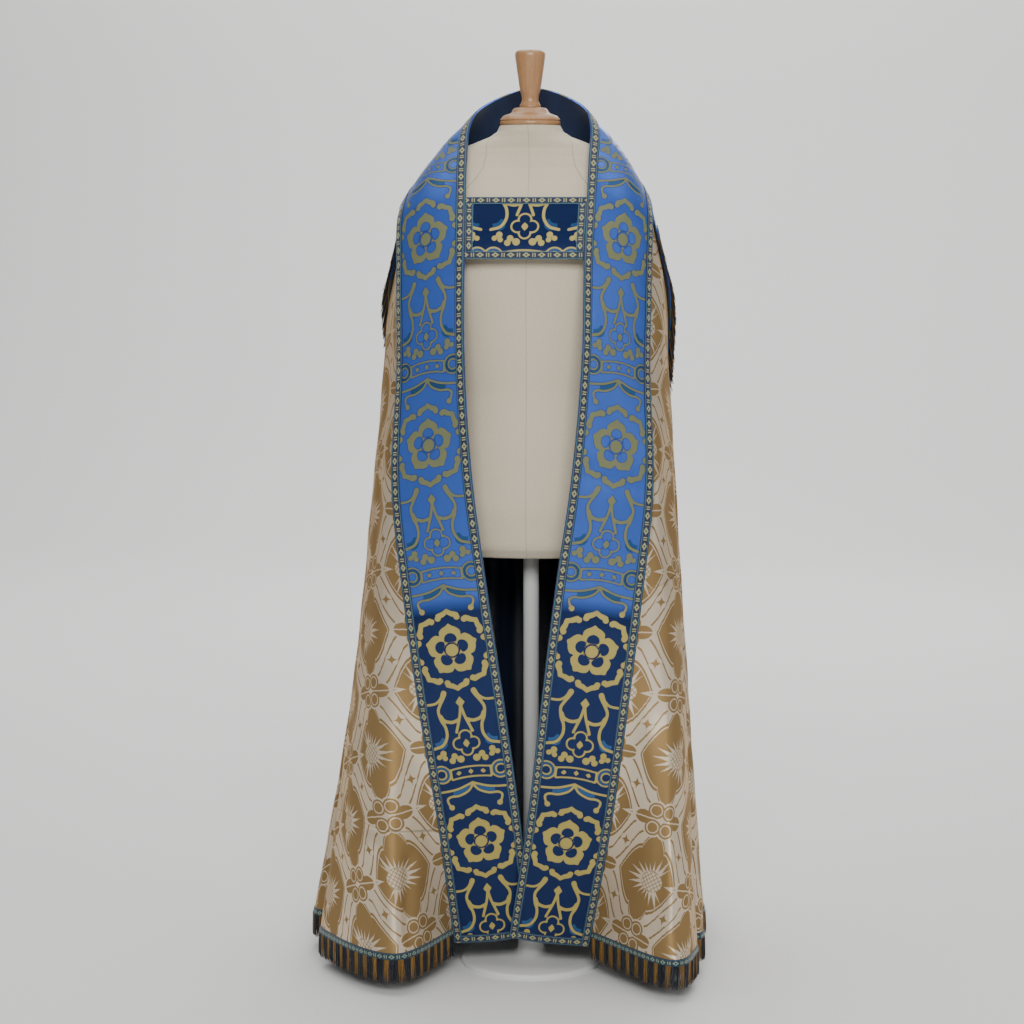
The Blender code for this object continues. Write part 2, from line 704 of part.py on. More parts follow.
def form_rings():
    """The form's horizontal sections: rounded ovals through the table's sizes."""
    angle = np.arange(FORM_SIDES) * 2 * math.pi / FORM_SIDES
    rings = []
    for row in FORM:
        power = 2 / row.squareness
        x = np.sign(np.cos(angle)) * np.abs(np.cos(angle)) ** power * row.half_width
        y = np.sign(np.sin(angle)) * np.abs(np.sin(angle)) ** power * row.half_depth + row.centre_y
        rings.append(np.stack([x, y, np.full_like(x, row.z)], axis=1) * MM)
    return np.array(rings)


def closed_loft(rings):
    """Vertices and faces of a skin over closed rings, bottom to top, with a flat face on each end."""
    count, sides = rings.shape[:2]
    faces = []
    for r in range(count - 1):
        for c in range(sides):
            d = (c + 1) % sides
            faces.append([r * sides + c, r * sides + d, (r + 1) * sides + d, (r + 1) * sides + c])
    faces.append(list(range(sides))[::-1])
    faces.append([(count - 1) * sides + c for c in range(sides)])
    return rings.reshape(-1, 3), faces


def clearance_above(vertices, faces, cloths):
    """The least height between the form's shoulders and the cloth over them."""
    bpy.context.view_layer.update()
    graph = bpy.context.evaluated_depsgraph_get()
    bare = BVHTree.FromPolygons([tuple(v) for v in vertices], faces)
    least = math.inf
    for obj in cloths:
        tree = BVHTree.FromObject(obj, graph)
        rays = [(tree, Vector(v), 1) for v in vertices if v[2] > SHOULDERS_FROM]
        rays += [(bare, v.co, -1) for v in obj.data.vertices]
        for target, point, way in rays:
            hit, _, _, distance = target.ray_cast(point, Vector((0, 0, way)))
            least = min(least, distance) if hit else least
    return least


def make_form(linen, beech, paint):
    """The dress form: a linen body raised on its pole until its shoulders carry the cope, a turned cap and
    finial on its neck, and a round foot."""
    vertices, faces = closed_loft(form_rings())
    names = ("orphrey_right", "orphrey_left", "body_right", "body_back", "body_left")
    cloths = [bpy.data.objects[name] for name in names]
    lift = clearance_above(vertices, faces, cloths) - SEAM_GAP
    vertices = vertices + [0, 0, lift]
    new_object("form_body", vertices, faces, linen)
    neck_y = FORM[-1].centre_y * MM
    cap_foot = vertices[:, 2].max() + REST_GAP
    turned("neck_cap", CAP_PROFILE, (0, neck_y, cap_foot), beech)
    finial_foot = cap_foot + CAP_PROFILE[0][1] * MM + REST_GAP
    turned("finial", FINIAL_PROFILE, (0, neck_y, finial_foot), beech)
    turned("stand_base", BASE_PROFILE, (0, 0, 0), paint)
    pole_foot = BASE_PROFILE[0][1] * MM + REST_GAP
    pole_top = vertices[:, 2].min() - REST_GAP
    radius = POLE_RADIUS / MM
    pole = [(radius, (pole_top - pole_foot) / MM), (radius, 0)]
    turned("stand_pole", pole, (0, 0, pole_foot), paint)


def main():
    for obj in list(bpy.data.objects):
        bpy.data.objects.remove(obj)
    damask = material("cream_damask", CREAM_DAMASK, 0.5)
    blue = material("blue_satin", BLUE_SATIN, 0.45)
    galloon = material("galloon_braid", GALLOON, 0.6)
    fringe = material("block_fringe", FRINGE_COLOUR, 0.7)
    linen = material("form_linen", LINEN, 0.85)
    beech = material("turned_beech", BEECH, 0.4)
    paint = material("white_paint", WHITE_PAINT, 0.4)
    for side, mark in ((-1, "right"), (1, "left")):
        make_band(side, mark, blue, galloon)
    points, normals = make_body(damask)
    make_hem_fringe(points, normals, fringe)
    make_hood(blue, fringe)
    make_morse(blue, galloon)
    make_form(linen, beech, paint)


main()
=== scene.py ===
"""Cope vestment on a dress form: cream damask, a blue brocade orphrey, galloon braid and block fringe.

Every cloth piece is a thin shell on the form of its CAD solid. Metres, +Z up, the front faces -Y.
"""

import math

import bpy
import numpy as np
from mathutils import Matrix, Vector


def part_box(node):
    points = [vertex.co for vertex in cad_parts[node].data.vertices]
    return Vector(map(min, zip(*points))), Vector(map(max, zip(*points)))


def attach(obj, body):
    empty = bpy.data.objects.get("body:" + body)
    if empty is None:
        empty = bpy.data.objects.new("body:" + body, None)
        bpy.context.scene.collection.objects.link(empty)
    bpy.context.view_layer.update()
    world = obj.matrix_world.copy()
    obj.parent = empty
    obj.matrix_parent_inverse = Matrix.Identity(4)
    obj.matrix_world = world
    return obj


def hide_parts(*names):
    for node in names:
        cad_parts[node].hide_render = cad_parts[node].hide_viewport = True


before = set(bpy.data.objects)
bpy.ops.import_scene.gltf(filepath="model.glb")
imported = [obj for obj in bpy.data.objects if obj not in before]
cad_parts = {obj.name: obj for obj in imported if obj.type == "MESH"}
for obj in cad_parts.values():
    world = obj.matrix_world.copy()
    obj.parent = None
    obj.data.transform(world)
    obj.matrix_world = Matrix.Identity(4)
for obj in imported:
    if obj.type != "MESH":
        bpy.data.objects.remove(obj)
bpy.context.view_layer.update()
MM = 0.001


# Dress form body
# A limbless torso, a padded shell under tight linen canvas, joined by flat seams down its fronts and sides.
# It carries the cope on its shoulders and shows at the neck and between the fronts.

FORM_ROWS = [
    # z, half width, half depth, centre y, squareness (mm, from its foot to the top of its neck)
    (715, 150, 98, 0, 2.3),
    (731, 164, 110, 0, 2.3),
    (800, 173, 118, 0, 2.3),
    (900, 168, 114, 0, 2.2),
    (1000, 154, 104, 0, 2.1),
    (1090, 162, 110, 0, 2.2),
    (1180, 178, 116, 0, 2.4),
    (1250, 186, 106, 0, 2.5),
    (1294, 190, 92, 1, 2.6),
    (1336, 190, 74, 3, 2.6),
    (1362, 184, 60, 6, 2.5),
    (1383, 171, 54, 8, 2.4),
    (1403, 147, 50, 5, 2.2),
    (1416, 122, 48, 0, 2.1),
    (1426, 95, 48, -7, 2.0),
    (1435, 71, 49, -12, 2.0),
    (1444, 57, 51, -17, 2.0),
    (1454, 52, 52, -21, 2.0),
]
FORM_SEAM_DEGREES = (62, 118)
LINEN_HEX = "D9CDB6"
LINEN_THREAD_MM = 1.1


def through(knots, values, at):
    """A smooth cubic through the rows of a table, whose slope at each row comes from its neighbours."""
    knots, values, at = (np.asarray(a, float) for a in (knots, values, at))
    slopes = np.gradient(values, knots, axis=0)
    i = np.clip(np.searchsorted(knots, at, side="right") - 1, 0, len(knots) - 2)
    step = knots[i + 1] - knots[i]
    t = (at - knots[i]) / step
    if values.ndim > 1:
        t, step = t[..., None], step[..., None]
    rise = t * t * (3 - 2 * t)
    return (
        values[i] * (1 - rise)
        + values[i + 1] * rise
        + slopes[i] * step * t * (1 - t) ** 2
        - slopes[i + 1] * step * t * t * (1 - t)
    )


def form_skin(sides=96, steps=6):
    """Rounded ovals up the form: x and y are powers of the cosine and sine of the angle round it, and the
    sizes run straight between the rows."""
    rows = np.array(FORM_ROWS, float)
    at = np.linspace(0, len(rows) - 1, (len(rows) - 1) * steps + 1)
    z, width, depth, centre, square = (np.interp(at, range(len(rows)), c)[:, None] for c in rows.T)
    angle = np.arange(sides) * 2 * math.pi / sides
    c, s = np.cos(angle), np.sin(angle)
    x = np.sign(c) * np.abs(c) ** (2 / square) * width
    y = np.sign(s) * np.abs(s) ** (2 / square) * depth + centre
    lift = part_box("form_body")[1].z - rows[-1, 0] * MM
    return np.stack([x, y, z + 0 * x], axis=-1) * MM + [0, 0, lift]


def put_mesh(name, points, faces, finishes, kinds=None, uv=None, marks=None):
    """A named piece on the root body, its faces turned outwards by the sign of its volume. uv is in metres
    on the cloth, a pair for each point, and marks are named numbers for each point."""
    points = np.asarray(points, float).reshape(-1, 3)
    fans = np.array([(f[0], f[k], f[k + 1]) for f in faces for k in range(1, len(f) - 1)])
    a, b, c = (points[fans[:, k]] for k in range(3))
    if (a * np.cross(b, c)).sum() < 0:
        faces = [f[::-1] for f in faces]
    mesh = bpy.data.meshes.new(name)
    mesh.from_pydata(points.tolist(), [], faces)
    for finish in finishes:
        mesh.materials.append(finish)
    if kinds is not None:
        mesh.polygons.foreach_set("material_index", np.asarray(kinds, np.int32))
    if uv is not None:
        corner = np.zeros(len(mesh.loops), np.int32)
        mesh.loops.foreach_get("vertex_index", corner)
        layer = mesh.uv_layers.new(name="cloth")
        layer.data.foreach_set("uv", np.asarray(uv, np.float32).reshape(-1, 2)[corner].ravel())
    for mark, values in (marks or {}).items():
        held = mesh.attributes.new(mark, "FLOAT", "POINT")
        held.data.foreach_set("value", np.asarray(values, np.float32).ravel())
    mesh.shade_smooth()
    mesh.set_sharp_from_angle(angle=math.radians(55))
    piece = bpy.data.objects.new(name, mesh)
    bpy.context.scene.collection.objects.link(piece)
    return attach(piece, "root")


def skin(name, rings, finish):
    """A closed skin over rings of points, with a flat face on each end."""
    count, sides = rings.shape[:2]
    at = np.arange(count * sides).reshape(count, sides)
    nxt = np.roll(at, -1, axis=1)
    faces = np.stack([at[:-1], nxt[:-1], nxt[1:], at[1:]], axis=-1).reshape(-1, 4).tolist()
    faces += [at[0, ::-1].tolist(), at[-1].tolist()]
    return put_mesh(name, rings, faces, [finish])


def colour(code):
    """An sRGB hex code as linear RGBA."""
    parts = [int(code[k : k + 2], 16) / 255 for k in (0, 2, 4)]
    return (*(p / 12.92 if p < 0.04045 else ((p + 0.055) / 1.055) ** 2.4 for p in parts), 1.0)


def add_node(tree, kind, inputs=None, **settings):
    """Adds one node. An input is a number, a colour, a socket or a field."""
    made = tree.nodes.new("ShaderNode" + kind)
    for name, value in settings.items():
        setattr(made, name, value)
    for key, value in (inputs or {}).items():
        value = getattr(value, "socket", value)
        if isinstance(value, bpy.types.NodeSocket):
            tree.links.new(value, made.inputs[key])
        else:
            made.inputs[key].default_value = value
    return made


class Field:
    """A number that varies over a surface. Sums, products and functions of fields are Math nodes."""

    def __init__(self, tree, socket):
        self.tree, self.socket = tree, socket

    def of(self, operation, *others):
        inputs = dict(enumerate([self, *others]))
        return Field(self.tree, add_node(self.tree, "Math", inputs, operation=operation).outputs[0])

    def __add__(self, other):
        return self.of("ADD", other)

    def __sub__(self, other):
        return self.of("SUBTRACT", other)

    def __mul__(self, other):
        return self.of("MULTIPLY", other)

    def __truediv__(self, other):
        return self.of("DIVIDE", other)

    def __abs__(self):
        return self.of("ABSOLUTE")

    def __neg__(self):
        return self.of("MULTIPLY", -1.0)

    def low(self, other):
        return self.of("MINIMUM", other)

    def high(self, other):
        return self.of("MAXIMUM", other)

    def inside(self, softness):
        """1 where the field is below 0 and 0 where it is above, with a soft edge."""
        made = add_node(self.tree, "MapRange", {0: self, 1: softness, 2: -softness, 3: 0.0, 4: 1.0})
        return Field(self.tree, made.outputs[0])


def hypotenuse(x, y):
    """Square root of x squared plus y squared, of two fields."""
    return (x * x + y * y).of("SQRT")


def new_finish(name, **sockets):
    """A material with its Principled shader's own sockets set. Returns it, its tree and its shader."""
    made = bpy.data.materials.new(name)
    made.use_nodes = True
    shader = made.node_tree.nodes["Principled BSDF"]
    for key, value in sockets.items():
        shader.inputs[key.replace("_", " ")].default_value = value
    return made, made.node_tree, shader


def place_fields(tree):
    """The object's own X, Y and Z in millimetres, as fields."""
    place = add_node(tree, "TexCoord").outputs["Object"]
    parts = add_node(tree, "SeparateXYZ", {0: place}).outputs
    return [Field(tree, parts[k]) * 1000.0 for k in range(3)]


def make_linen():
    """Linen canvas: a dull natural cream with a plain weave and slubs, and a dark line at each seam."""
    finish, tree, shader = new_finish("linen_canvas", Roughness=0.85, Sheen_Weight=0.15)
    x, y, z = place_fields(tree)
    turn = x.of("ARCTAN2", y) * (180 / math.pi)
    weave = (x * (2 * math.pi / LINEN_THREAD_MM)).of("SINE")
    weave = weave * (z * (2 * math.pi / LINEN_THREAD_MM)).of("SINE")
    slub = add_node(tree, "TexNoise", {"Scale": 160.0, "Detail": 3.0})
    seam = abs(x) - 0.6
    for seam_turn in FORM_SEAM_DEGREES:
        seam = seam.low(abs(abs(turn) - seam_turn) * 1.6 - 0.6)
    line = seam.inside(0.5)
    tone = add_node(
        tree, "MixRGB", {0: slub.outputs[0], 1: colour(LINEN_HEX), 2: colour("C9BCA2")}
    )
    seamed = add_node(tree, "MixRGB", {0: line * 0.45, 1: tone.outputs[0], 2: colour("8C7F68")})
    tree.links.new(seamed.outputs[0], shader.inputs["Base Color"])
    height = weave * 0.25 + Field(tree, slub.outputs[0]) - line * 2.0
    bump = add_node(tree, "Bump", {"Height": height, "Strength": 0.35, "Distance": 0.0005})
    tree.links.new(bump.outputs[0], shader.inputs["Normal"])
    return finish


linen = make_linen()
form = skin("form_torso", form_skin(), linen)
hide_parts("form_body")


# Neck cap, finial, pole and foot
# The cap and finial are turned beech with a thin clear lacquer, finished with a groove near the rim.
# The pole and its round foot are steel, sprayed matt white.

BEECH_HEX, BEECH_DARK_HEX = "B58A5E", "8E633E"


def spun(name, profile, foot, finish, sides=72):
    """A profile of (radius, height) in millimetres, from its foot up, spun round an upright axis."""
    angle = np.arange(sides) * 2 * math.pi / sides
    ring = np.stack([np.cos(angle), np.sin(angle), 0 * angle], axis=1)
    rows = np.array(profile, float)
    rings = rows[:, :1, None] * ring[None] + rows[:, 1:, None] * [0, 0, 1]
    return skin(name, rings * MM + np.array(foot), finish)


def make_beech():
    """Turned beech: light brown with fine upright grain and short darker flecks, under a thin lacquer."""
    finish, tree, shader = new_finish("turned_beech", Roughness=0.38, Coat_Weight=0.25)
    shader.inputs["Coat Roughness"].default_value = 0.25
    place = add_node(tree, "TexCoord").outputs["Object"]
    long_way = add_node(tree, "Mapping", {"Vector": place, "Scale": (1.0, 1.0, 0.09)}).outputs[0]
    grain = add_node(tree, "TexNoise", {"Vector": long_way, "Scale": 260.0, "Detail": 5.0})
    flecks = add_node(tree, "TexNoise", {"Vector": long_way, "Scale": 900.0, "Detail": 2.0})
    mix = add_node(
        tree, "MixRGB", {0: grain.outputs[0], 1: colour(BEECH_HEX), 2: colour(BEECH_DARK_HEX)}
    )
    fleck = (Field(tree, flecks.outputs[0]) * -1.0 + 0.36).inside(-0.05) * 0.35
    dark = add_node(tree, "MixRGB", {0: fleck, 1: mix.outputs[0], 2: colour("7A5232")})
    tree.links.new(dark.outputs[0], shader.inputs["Base Color"])
    bump = add_node(
        tree, "Bump", {"Height": grain.outputs[0], "Strength": 0.15, "Distance": 0.0004}
    )
    tree.links.new(bump.outputs[0], shader.inputs["Normal"])
    return finish


def make_white_paint():
    """Sprayed steel: matt white with a faint orange peel."""
    finish, tree, shader = new_finish("white_paint", Roughness=0.5)
    shader.inputs["Base Color"].default_value = colour("D8D8D6")
    peel = add_node(tree, "TexNoise", {"Scale": 700.0, "Detail": 2.0})
    bump = add_node(tree, "Bump", {"Height": peel.outputs[0], "Strength": 0.1, "Distance": 0.0003})
    tree.links.new(bump.outputs[0], shader.inputs["Normal"])
    return finish


beech, white_paint = make_beech(), make_white_paint()
cap_low, cap_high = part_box("neck_cap")
neck_y = (cap_low.y + cap_high.y) / 2
cap = spun(
    "turned_cap",
    [(49, 0), (51.4, 1), (52, 2.6), (52, 6.2), (51, 7), (50.6, 7.6), (51.2, 8.4), (52, 9.4),
     (51, 11.4), (47, 16), (42, 18.2), (36, 20), (32.5, 22.4), (30, 27), (27.5, 29.4), (24, 30)],
    (0, neck_y, cap_low.z),
    beech,
)
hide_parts("neck_cap")
finial_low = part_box("finial")[0]
finial = spun(
    "turned_finial",
    [(18, 0), (18.6, 2), (18.2, 4), (16, 7.5), (14.5, 11), (14.3, 15), (14.9, 20), (16, 24),
     (17.5, 28), (18.8, 36), (20.4, 47), (22, 58), (23.8, 71), (25.4, 82), (26, 87), (26.2, 91),
     (25, 94), (23, 96), (20, 97)],
    (0, neck_y, finial_low.z),
    beech,
)
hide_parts("finial")
pole_low, pole_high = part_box("stand_pole")
pole_top = (pole_high.z - pole_low.z) / MM
pole = spun("stand_tube", [(14, 0), (14, pole_top)], (0, 0, pole_low.z), white_paint, 48)
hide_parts("stand_pole")
base = spun(
    "stand_foot",
    [(125, 0), (125.2, 3), (125, 5), (123.5, 7.6), (119, 9), (90, 10.4), (60, 12), (44, 13.4),
     (36, 14.6), (30, 16), (26, 19), (24, 23), (23, 30), (22.6, 45), (22, 60), (20.5, 61.6),
     (17, 62)],
    (0, 0, 0),
    white_paint,
    96,
)
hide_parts("stand_base")


# Orphrey band
# Heavy silk brocade on a satin ground: blue, with roses and crowns in gold weft and touches of mid blue.
# It is interlined and lined with navy sateen, stands up round the neck, and falls down both fronts.

BAND_WIDTH = 148 * MM
BRAID_WIDTH = 16 * MM
BAND_WALL = 2.5 * MM
THREAD_MM = 0.9
PAINTED_SHEEN_SPLIT_MM = 1018.0
HEM_RADIUS = 1645 * MM
CORNER_AT = 330 * MM
BODY_HEM_AT = 1622 * MM
BAND_ROWS = [
    # along; inner edge x, y, z; outer edge x, y, z; bulge; lap; inner lean; outer lean (mm)
    (0, 0, 75, 1546, 0, 110, 1402, 4, 0, 0, 0),
    (90, 82, 49, 1517, 88, 107, 1386, 14, 0, 0, -2),
    (180, 104, -23, 1477, 165, 67, 1379, 24, 0, 0, -5),
    (250, 104, -63, 1420, 203, 17, 1366, 22, 0, -1, -7),
    (320, 103, -93, 1357, 218, -35, 1328, 19, 0, -1, -8),
    (420, 101, -136, 1266, 219, -61, 1237, 12, 0, -1, -8),
    (600, 99, -175, 1090, 217, -93, 1062, 8, 0, 0, -7),
    (800, 84, -193, 892, 223, -137, 868, 5, 0, -1, -5),
    (1000, 57, -193, 695, 203, -159, 672, 4, 0, -2, -3),
    (1200, 31, -175, 498, 178, -156, 475, 4, 1, -1, -2),
    (1400, 8, -138, 303, 151, -128, 281, 4, 5, -2, -2),
    (1600, -16, -93, 110, 124, -88, 88, 4, 7, -9, -9),
    (1700, -28, -71, 14, 110, -68, -8, 4, 7, -13, -13),
]
BAND_NAMES = "along inner_x inner_y inner_z outer_x outer_y outer_z bulge lap inner_lean outer_lean"
BAND_TABLE = dict(zip(BAND_NAMES.split(), np.array(BAND_ROWS, float).T * MM))
STEP = 1e-4

# Soft creases across the band: side, along, slope, height and width in millimetres
BAND_CREASES = [
    (-1, 470, 0.10, 1.1, 16),
    (-1, 735, -0.08, -1.0, 20),
    (-1, 1040, 0.06, 1.6, 22),
    (-1, 1382, 0.05, 2.8, 26),
    (-1, 1498, -0.10, 1.5, 10),
    (1, 520, -0.10, 1.0, 18),
    (1, 800, 0.09, -1.1, 22),
    (1, 1050, -0.05, 1.6, 22),
    (1, 1378, 0.07, 2.8, 26),
    (1, 1492, 0.07, 1.3, 9),
    (-1, 210, 0.0, -1.0, 18),
    (1, 190, 0.0, -0.9, 16),
]


def unit(vectors):
    """Each vector over its own length."""
    return vectors / np.linalg.norm(vectors, axis=-1, keepdims=True)


def ease(t):
    """0 before 0, 1 after 1, and smooth between."""
    t = np.clip(t, 0, 1)
    return t * t * (3 - 2 * t)


def band_column(name, mirrored=1):
    """One column of the band's table, with a row more, mirrored past the centre of the back."""
    values = BAND_TABLE[name]
    return np.insert(values, 0, values[1] * mirrored)


BAND_ALONG = band_column("along", -1)


def band_edge(edge, side, along):
    """The band's inner or outer edge at a distance along it, on the side at +X (1) or -X (-1)."""
    x, y, z, lean = (
        through(BAND_ALONG, band_column(f"{edge}_{name}", mirrored), along)
        for name, mirrored in (("x", -1), ("y", 1), ("z", 1), ("lean", 1))
    )
    return np.stack([x * side + lean, y, z], axis=-1)


def band_flat(side, along, across):
    """The straight line between the band's edges, from 0 at the inner to 1 at the outer. The inner edge is
    brought forward by the lap on the upper side."""
    inner, outer = band_edge("inner", side, along), band_edge("outer", side, along)
    inner[..., 1] -= side * through(BAND_ALONG, band_column("lap"), along)
    return inner + (outer - inner) * across[..., None], outer - inner


def band_smooth(side, along, across):
    """The band's outer face: the straight line between its edges, rounded outwards by its bulge."""
    point, over = band_flat(side, along, across)
    down = band_flat(side, along + STEP, across)[0] - band_flat(side, along - STEP, across)[0]
    out = unit(np.cross(down, over)) * side
    bulge = through(BAND_ALONG, band_column("bulge"), along)
    return point + out * (bulge * 4 * across * (1 - across))[..., None]


def band_normal(side, along, across):
    """The band's outward direction: the cross product of its slopes down and across."""
    down = band_smooth(side, along + STEP, across) - band_smooth(side, along - STEP, across)
    over = band_smooth(side, along, across + STEP) - band_smooth(side, along, across - STEP)
    return unit(np.cross(down, over)) * side


def band_face(side, along, across):
    """The band as it hangs: its smooth form with soft ridges across it and a slow ripple down it. Each ridge
    is a bell curve of the distance from a line across the band, and dies out at the seam."""
    v, u = along / MM, (across - 0.5) * BAND_WIDTH / MM
    height = 0.5 * np.sin(v / 61 + side) * np.sin(v / 143 + 2 * side) * np.cos(u / 55)
    for crease_side, at, slope, tall, wide in BAND_CREASES:
        if crease_side == side:
            height = height + tall * np.exp(-(((v - at - slope * u) / wide) ** 2))
    height = height * ease(across * 6) * ease((1 - across) * 6)
    return band_smooth(side, along, across) + band_normal(side, along, across) * height[..., None] * MM


def shell(name, outer, inner, finishes, skip=(1, 1), uv=None, marks=None):
    """A thin closed cloth shell: a grid of points, a coarser grid behind it that skips rows and columns, and
    a rim between their edges. The last finish is on the inner side."""
    rows, columns = outer.shape[:2]
    keep = (slice(None, None, skip[0]), slice(None, None, skip[1]))
    front = np.arange(rows * columns).reshape(rows, columns)
    back = front.size + np.arange(inner[keep].size // 3).reshape(inner[keep].shape[:2])

    def quads(at):
        return np.stack([at[:-1, :-1], at[1:, :-1], at[1:, 1:], at[:-1, 1:]], axis=-1).reshape(-1, 4)

    faces = quads(front).tolist() + quads(back)[:, ::-1].tolist()
    kinds = [0] * (front.size - rows - columns + 1)
    kinds += [len(finishes) - 1] * (len(faces) - len(kinds))
    edges = [
        (front[:, 0], back[:, 0], skip[0]),
        (front[-1], back[-1], skip[1]),
        (front[::-1, -1], back[::-1, -1], skip[0]),
        (front[0, ::-1], back[0, ::-1], skip[1]),
    ]
    for line, behind, stride in edges:
        for k in range(len(behind) - 1):
            span = line[k * stride : k * stride + stride + 1]
            faces.append([*span[::-1].tolist(), int(behind[k]), int(behind[k + 1])])
            kinds.append(0)
    points = np.concatenate([outer.reshape(-1, 3), inner[keep].reshape(-1, 3)])
    if uv is not None:
        uv = np.concatenate([uv.reshape(-1, 2), uv[keep].reshape(-1, 2)])
    marks = {m: np.concatenate([v.ravel(), v[keep].ravel()]) for m, v in (marks or {}).items()}
    return put_mesh(name, points, faces, finishes, kinds, uv, marks)


# The brocade's chart: one repeat, a rose and a crown, as the distance in millimetres from the edge of each
# woven colour, which is below 0 inside it. x is across from the middle, and down runs from the rose's middle.
REPEAT = 352
CHART_CELL = 0.5
CHART_HALF = 66
CROWN_AT = 176
CROWN_SCALE = 0.93


def line_through(points, x, y, width):
    """Distance to a smooth line through a few points, less half its width."""
    points = np.array(points, float)
    t = np.arange(len(points))
    spaced = through(t, points, np.linspace(0, len(points) - 1, 22 * len(points))).astype(np.float32)
    away = np.hypot(x[..., None] - spaced[:, 0], y[..., None] - spaced[:, 1])
    return away.min(axis=-1) - width / 2


def lozenge(x, y, half_wide, half_tall):
    """Near the distance to a lozenge: |x| / half width + |y| / half height - 1, times the smaller half."""
    return (np.abs(x) / half_wide + np.abs(y) / half_tall - 1) * min(half_wide, half_tall) * 0.8


def rose(x, y):
    """A heraldic rose: a seed disc, an inner flower cut through by five petals, and eight bracket-shaped
    outer petals round it, each an arc with a point in its middle and knobs at its ends, which turn in."""
    r, turn = np.hypot(x, y), np.degrees(np.arctan2(x, y))
    share = np.abs((turn + 36) % 72 - 36) / 36
    outline = 42.5 - 7.5 * share**2 + 4 * np.clip(1 - share / 0.22, 0, 1)
    outline = outline - 4 * ease((share - 0.82) / 0.18)
    petal = (np.hypot((r - 21.8) / 7.8, share * 36 * r / 57.3 / 11.5) - 1) * 7.8
    ring = np.maximum.reduce([r - outline, -petal, 13.6 - r])
    share = np.abs((turn + 22.5) % 45 - 22.5) / 22.5
    middle = 63.0 + 4.5 * np.clip(1 - share / 0.34, 0, 1) ** 1.3 - 2.5 * share**3
    arc = np.maximum(np.abs(r - middle) - 4.7 + 0.8 * share**2, (share - 0.80) * 0.39 * r)
    knob = np.hypot(r - 59.0, (share - 0.72) * 0.39 * r) - 5.2
    return np.minimum.reduce([ring, r - 10.6, arc, knob])


def crown(x, y):
    """A plain open crown: a jewelled base with scrolled ends, a quatrefoil under a spike, two arches with
    looped tips, and a ribbon below. Returns the gold lines and the mid blue fillings."""
    def line(points, width=3.4):
        return line_through(points, x, y, width + 0.9)

    gold = [
        lozenge(x, y - 90, 8.5, 11),
        line([(0.5, 82), (5, 62), (15, 33)], 4.2),
        line([(7, 57), (20, 53), (34, 57), (40, 67)], 5.4),
        line(
            [(27, 106), (31, 99), (38, 88), (43, 76), (40, 58), (34, 44), (34, 26), (44, 10), (62, 4)],
            4.6,
        ),
        line([(31, 108), (37, 98), (48, 91), (70, 90)], 3.8),
        line([(26, 106), (25, 111), (29, 113), (32, 108)], 3.4),
    ]
    lobes = [np.hypot(x, y - 24) - 11.5, np.hypot(x - 13, y - 10) - 11.5, np.hypot(x, y + 3) - 10.5]
    gold.append(np.abs(np.minimum.reduce(lobes)) - 1.7)
    gold.append(lozenge(x, y - 10, 6.5, 8.5))
    leaf = [np.hypot(x - 15, y + 20) - 7, np.hypot(x - 26, y + 13) - 6, np.hypot(x - 31, y + 22) - 6]
    gold.append(np.minimum.reduce(leaf))
    leaf = [np.hypot(x - 46, y + 6) - 6, np.hypot(x - 55, y + 13) - 5, np.hypot(x - 44, y + 16) - 5]
    gold.append(np.minimum.reduce(leaf))
    sag = y + x * x / 330
    body = np.abs(sag + 46) - 10
    base = np.maximum(np.abs(body) - 1.7, np.abs(x) - 38)
    gold += [base, line([(38, -50), (38, -40), (38, -58)], 3.4)]
    gold += [lozenge(x - at, sag + 46, 5.5, 5.0) for at in (0, 23)]
    away = np.hypot(x - 56, y + 48)
    gold += [np.maximum(np.abs(away - ring) - 1.6, -x + 37) for ring in (17, 9)]
    upper = [(0, -68), (12, -73), (34, -80), (70, -84)]
    lower = [(0, -72), (10, -84), (28, -92), (44, -93), (52, -98), (50, -108), (45, -115)]
    gold += [line(upper), line(lower), np.abs(np.hypot(x - 46, y + 114) - 4) - 1.5]
    scroll = np.maximum(np.abs(away - 13) - 4, -x + 38)
    upper_y = np.interp(x, [0, 12, 34, 70], [-68, -73, -80, -84])
    lower_y = np.interp(x, [0, 10, 28, 44], [-72, -84, -92, -93])
    ribbon = np.maximum.reduce([y - upper_y, lower_y - y, x - 40])
    wing = np.maximum(np.hypot(x - 47, y - 14) - 12, -np.hypot(x - 56, y - 28) + 12)
    return np.minimum.reduce(gold), np.minimum.reduce([scroll, ribbon, wing])


def brocade_chart():
    """The gold and the mid blue distances over half a repeat's width and the whole of its length."""
    across = np.arange(0, CHART_HALF + CHART_CELL / 2, CHART_CELL, dtype=np.float32)
    down = np.arange(0, REPEAT, CHART_CELL, dtype=np.float32)
    x, s = np.meshgrid(across, down, indexing="ij")
    bloom = rose(x, np.where(s < REPEAT / 2, -s, REPEAT - s))
    gold, accent = crown(x / CROWN_SCALE, (CROWN_AT - s) / CROWN_SCALE)
    return np.minimum(bloom, gold * CROWN_SCALE), accent * CROWN_SCALE


BROCADE_CHART = brocade_chart()


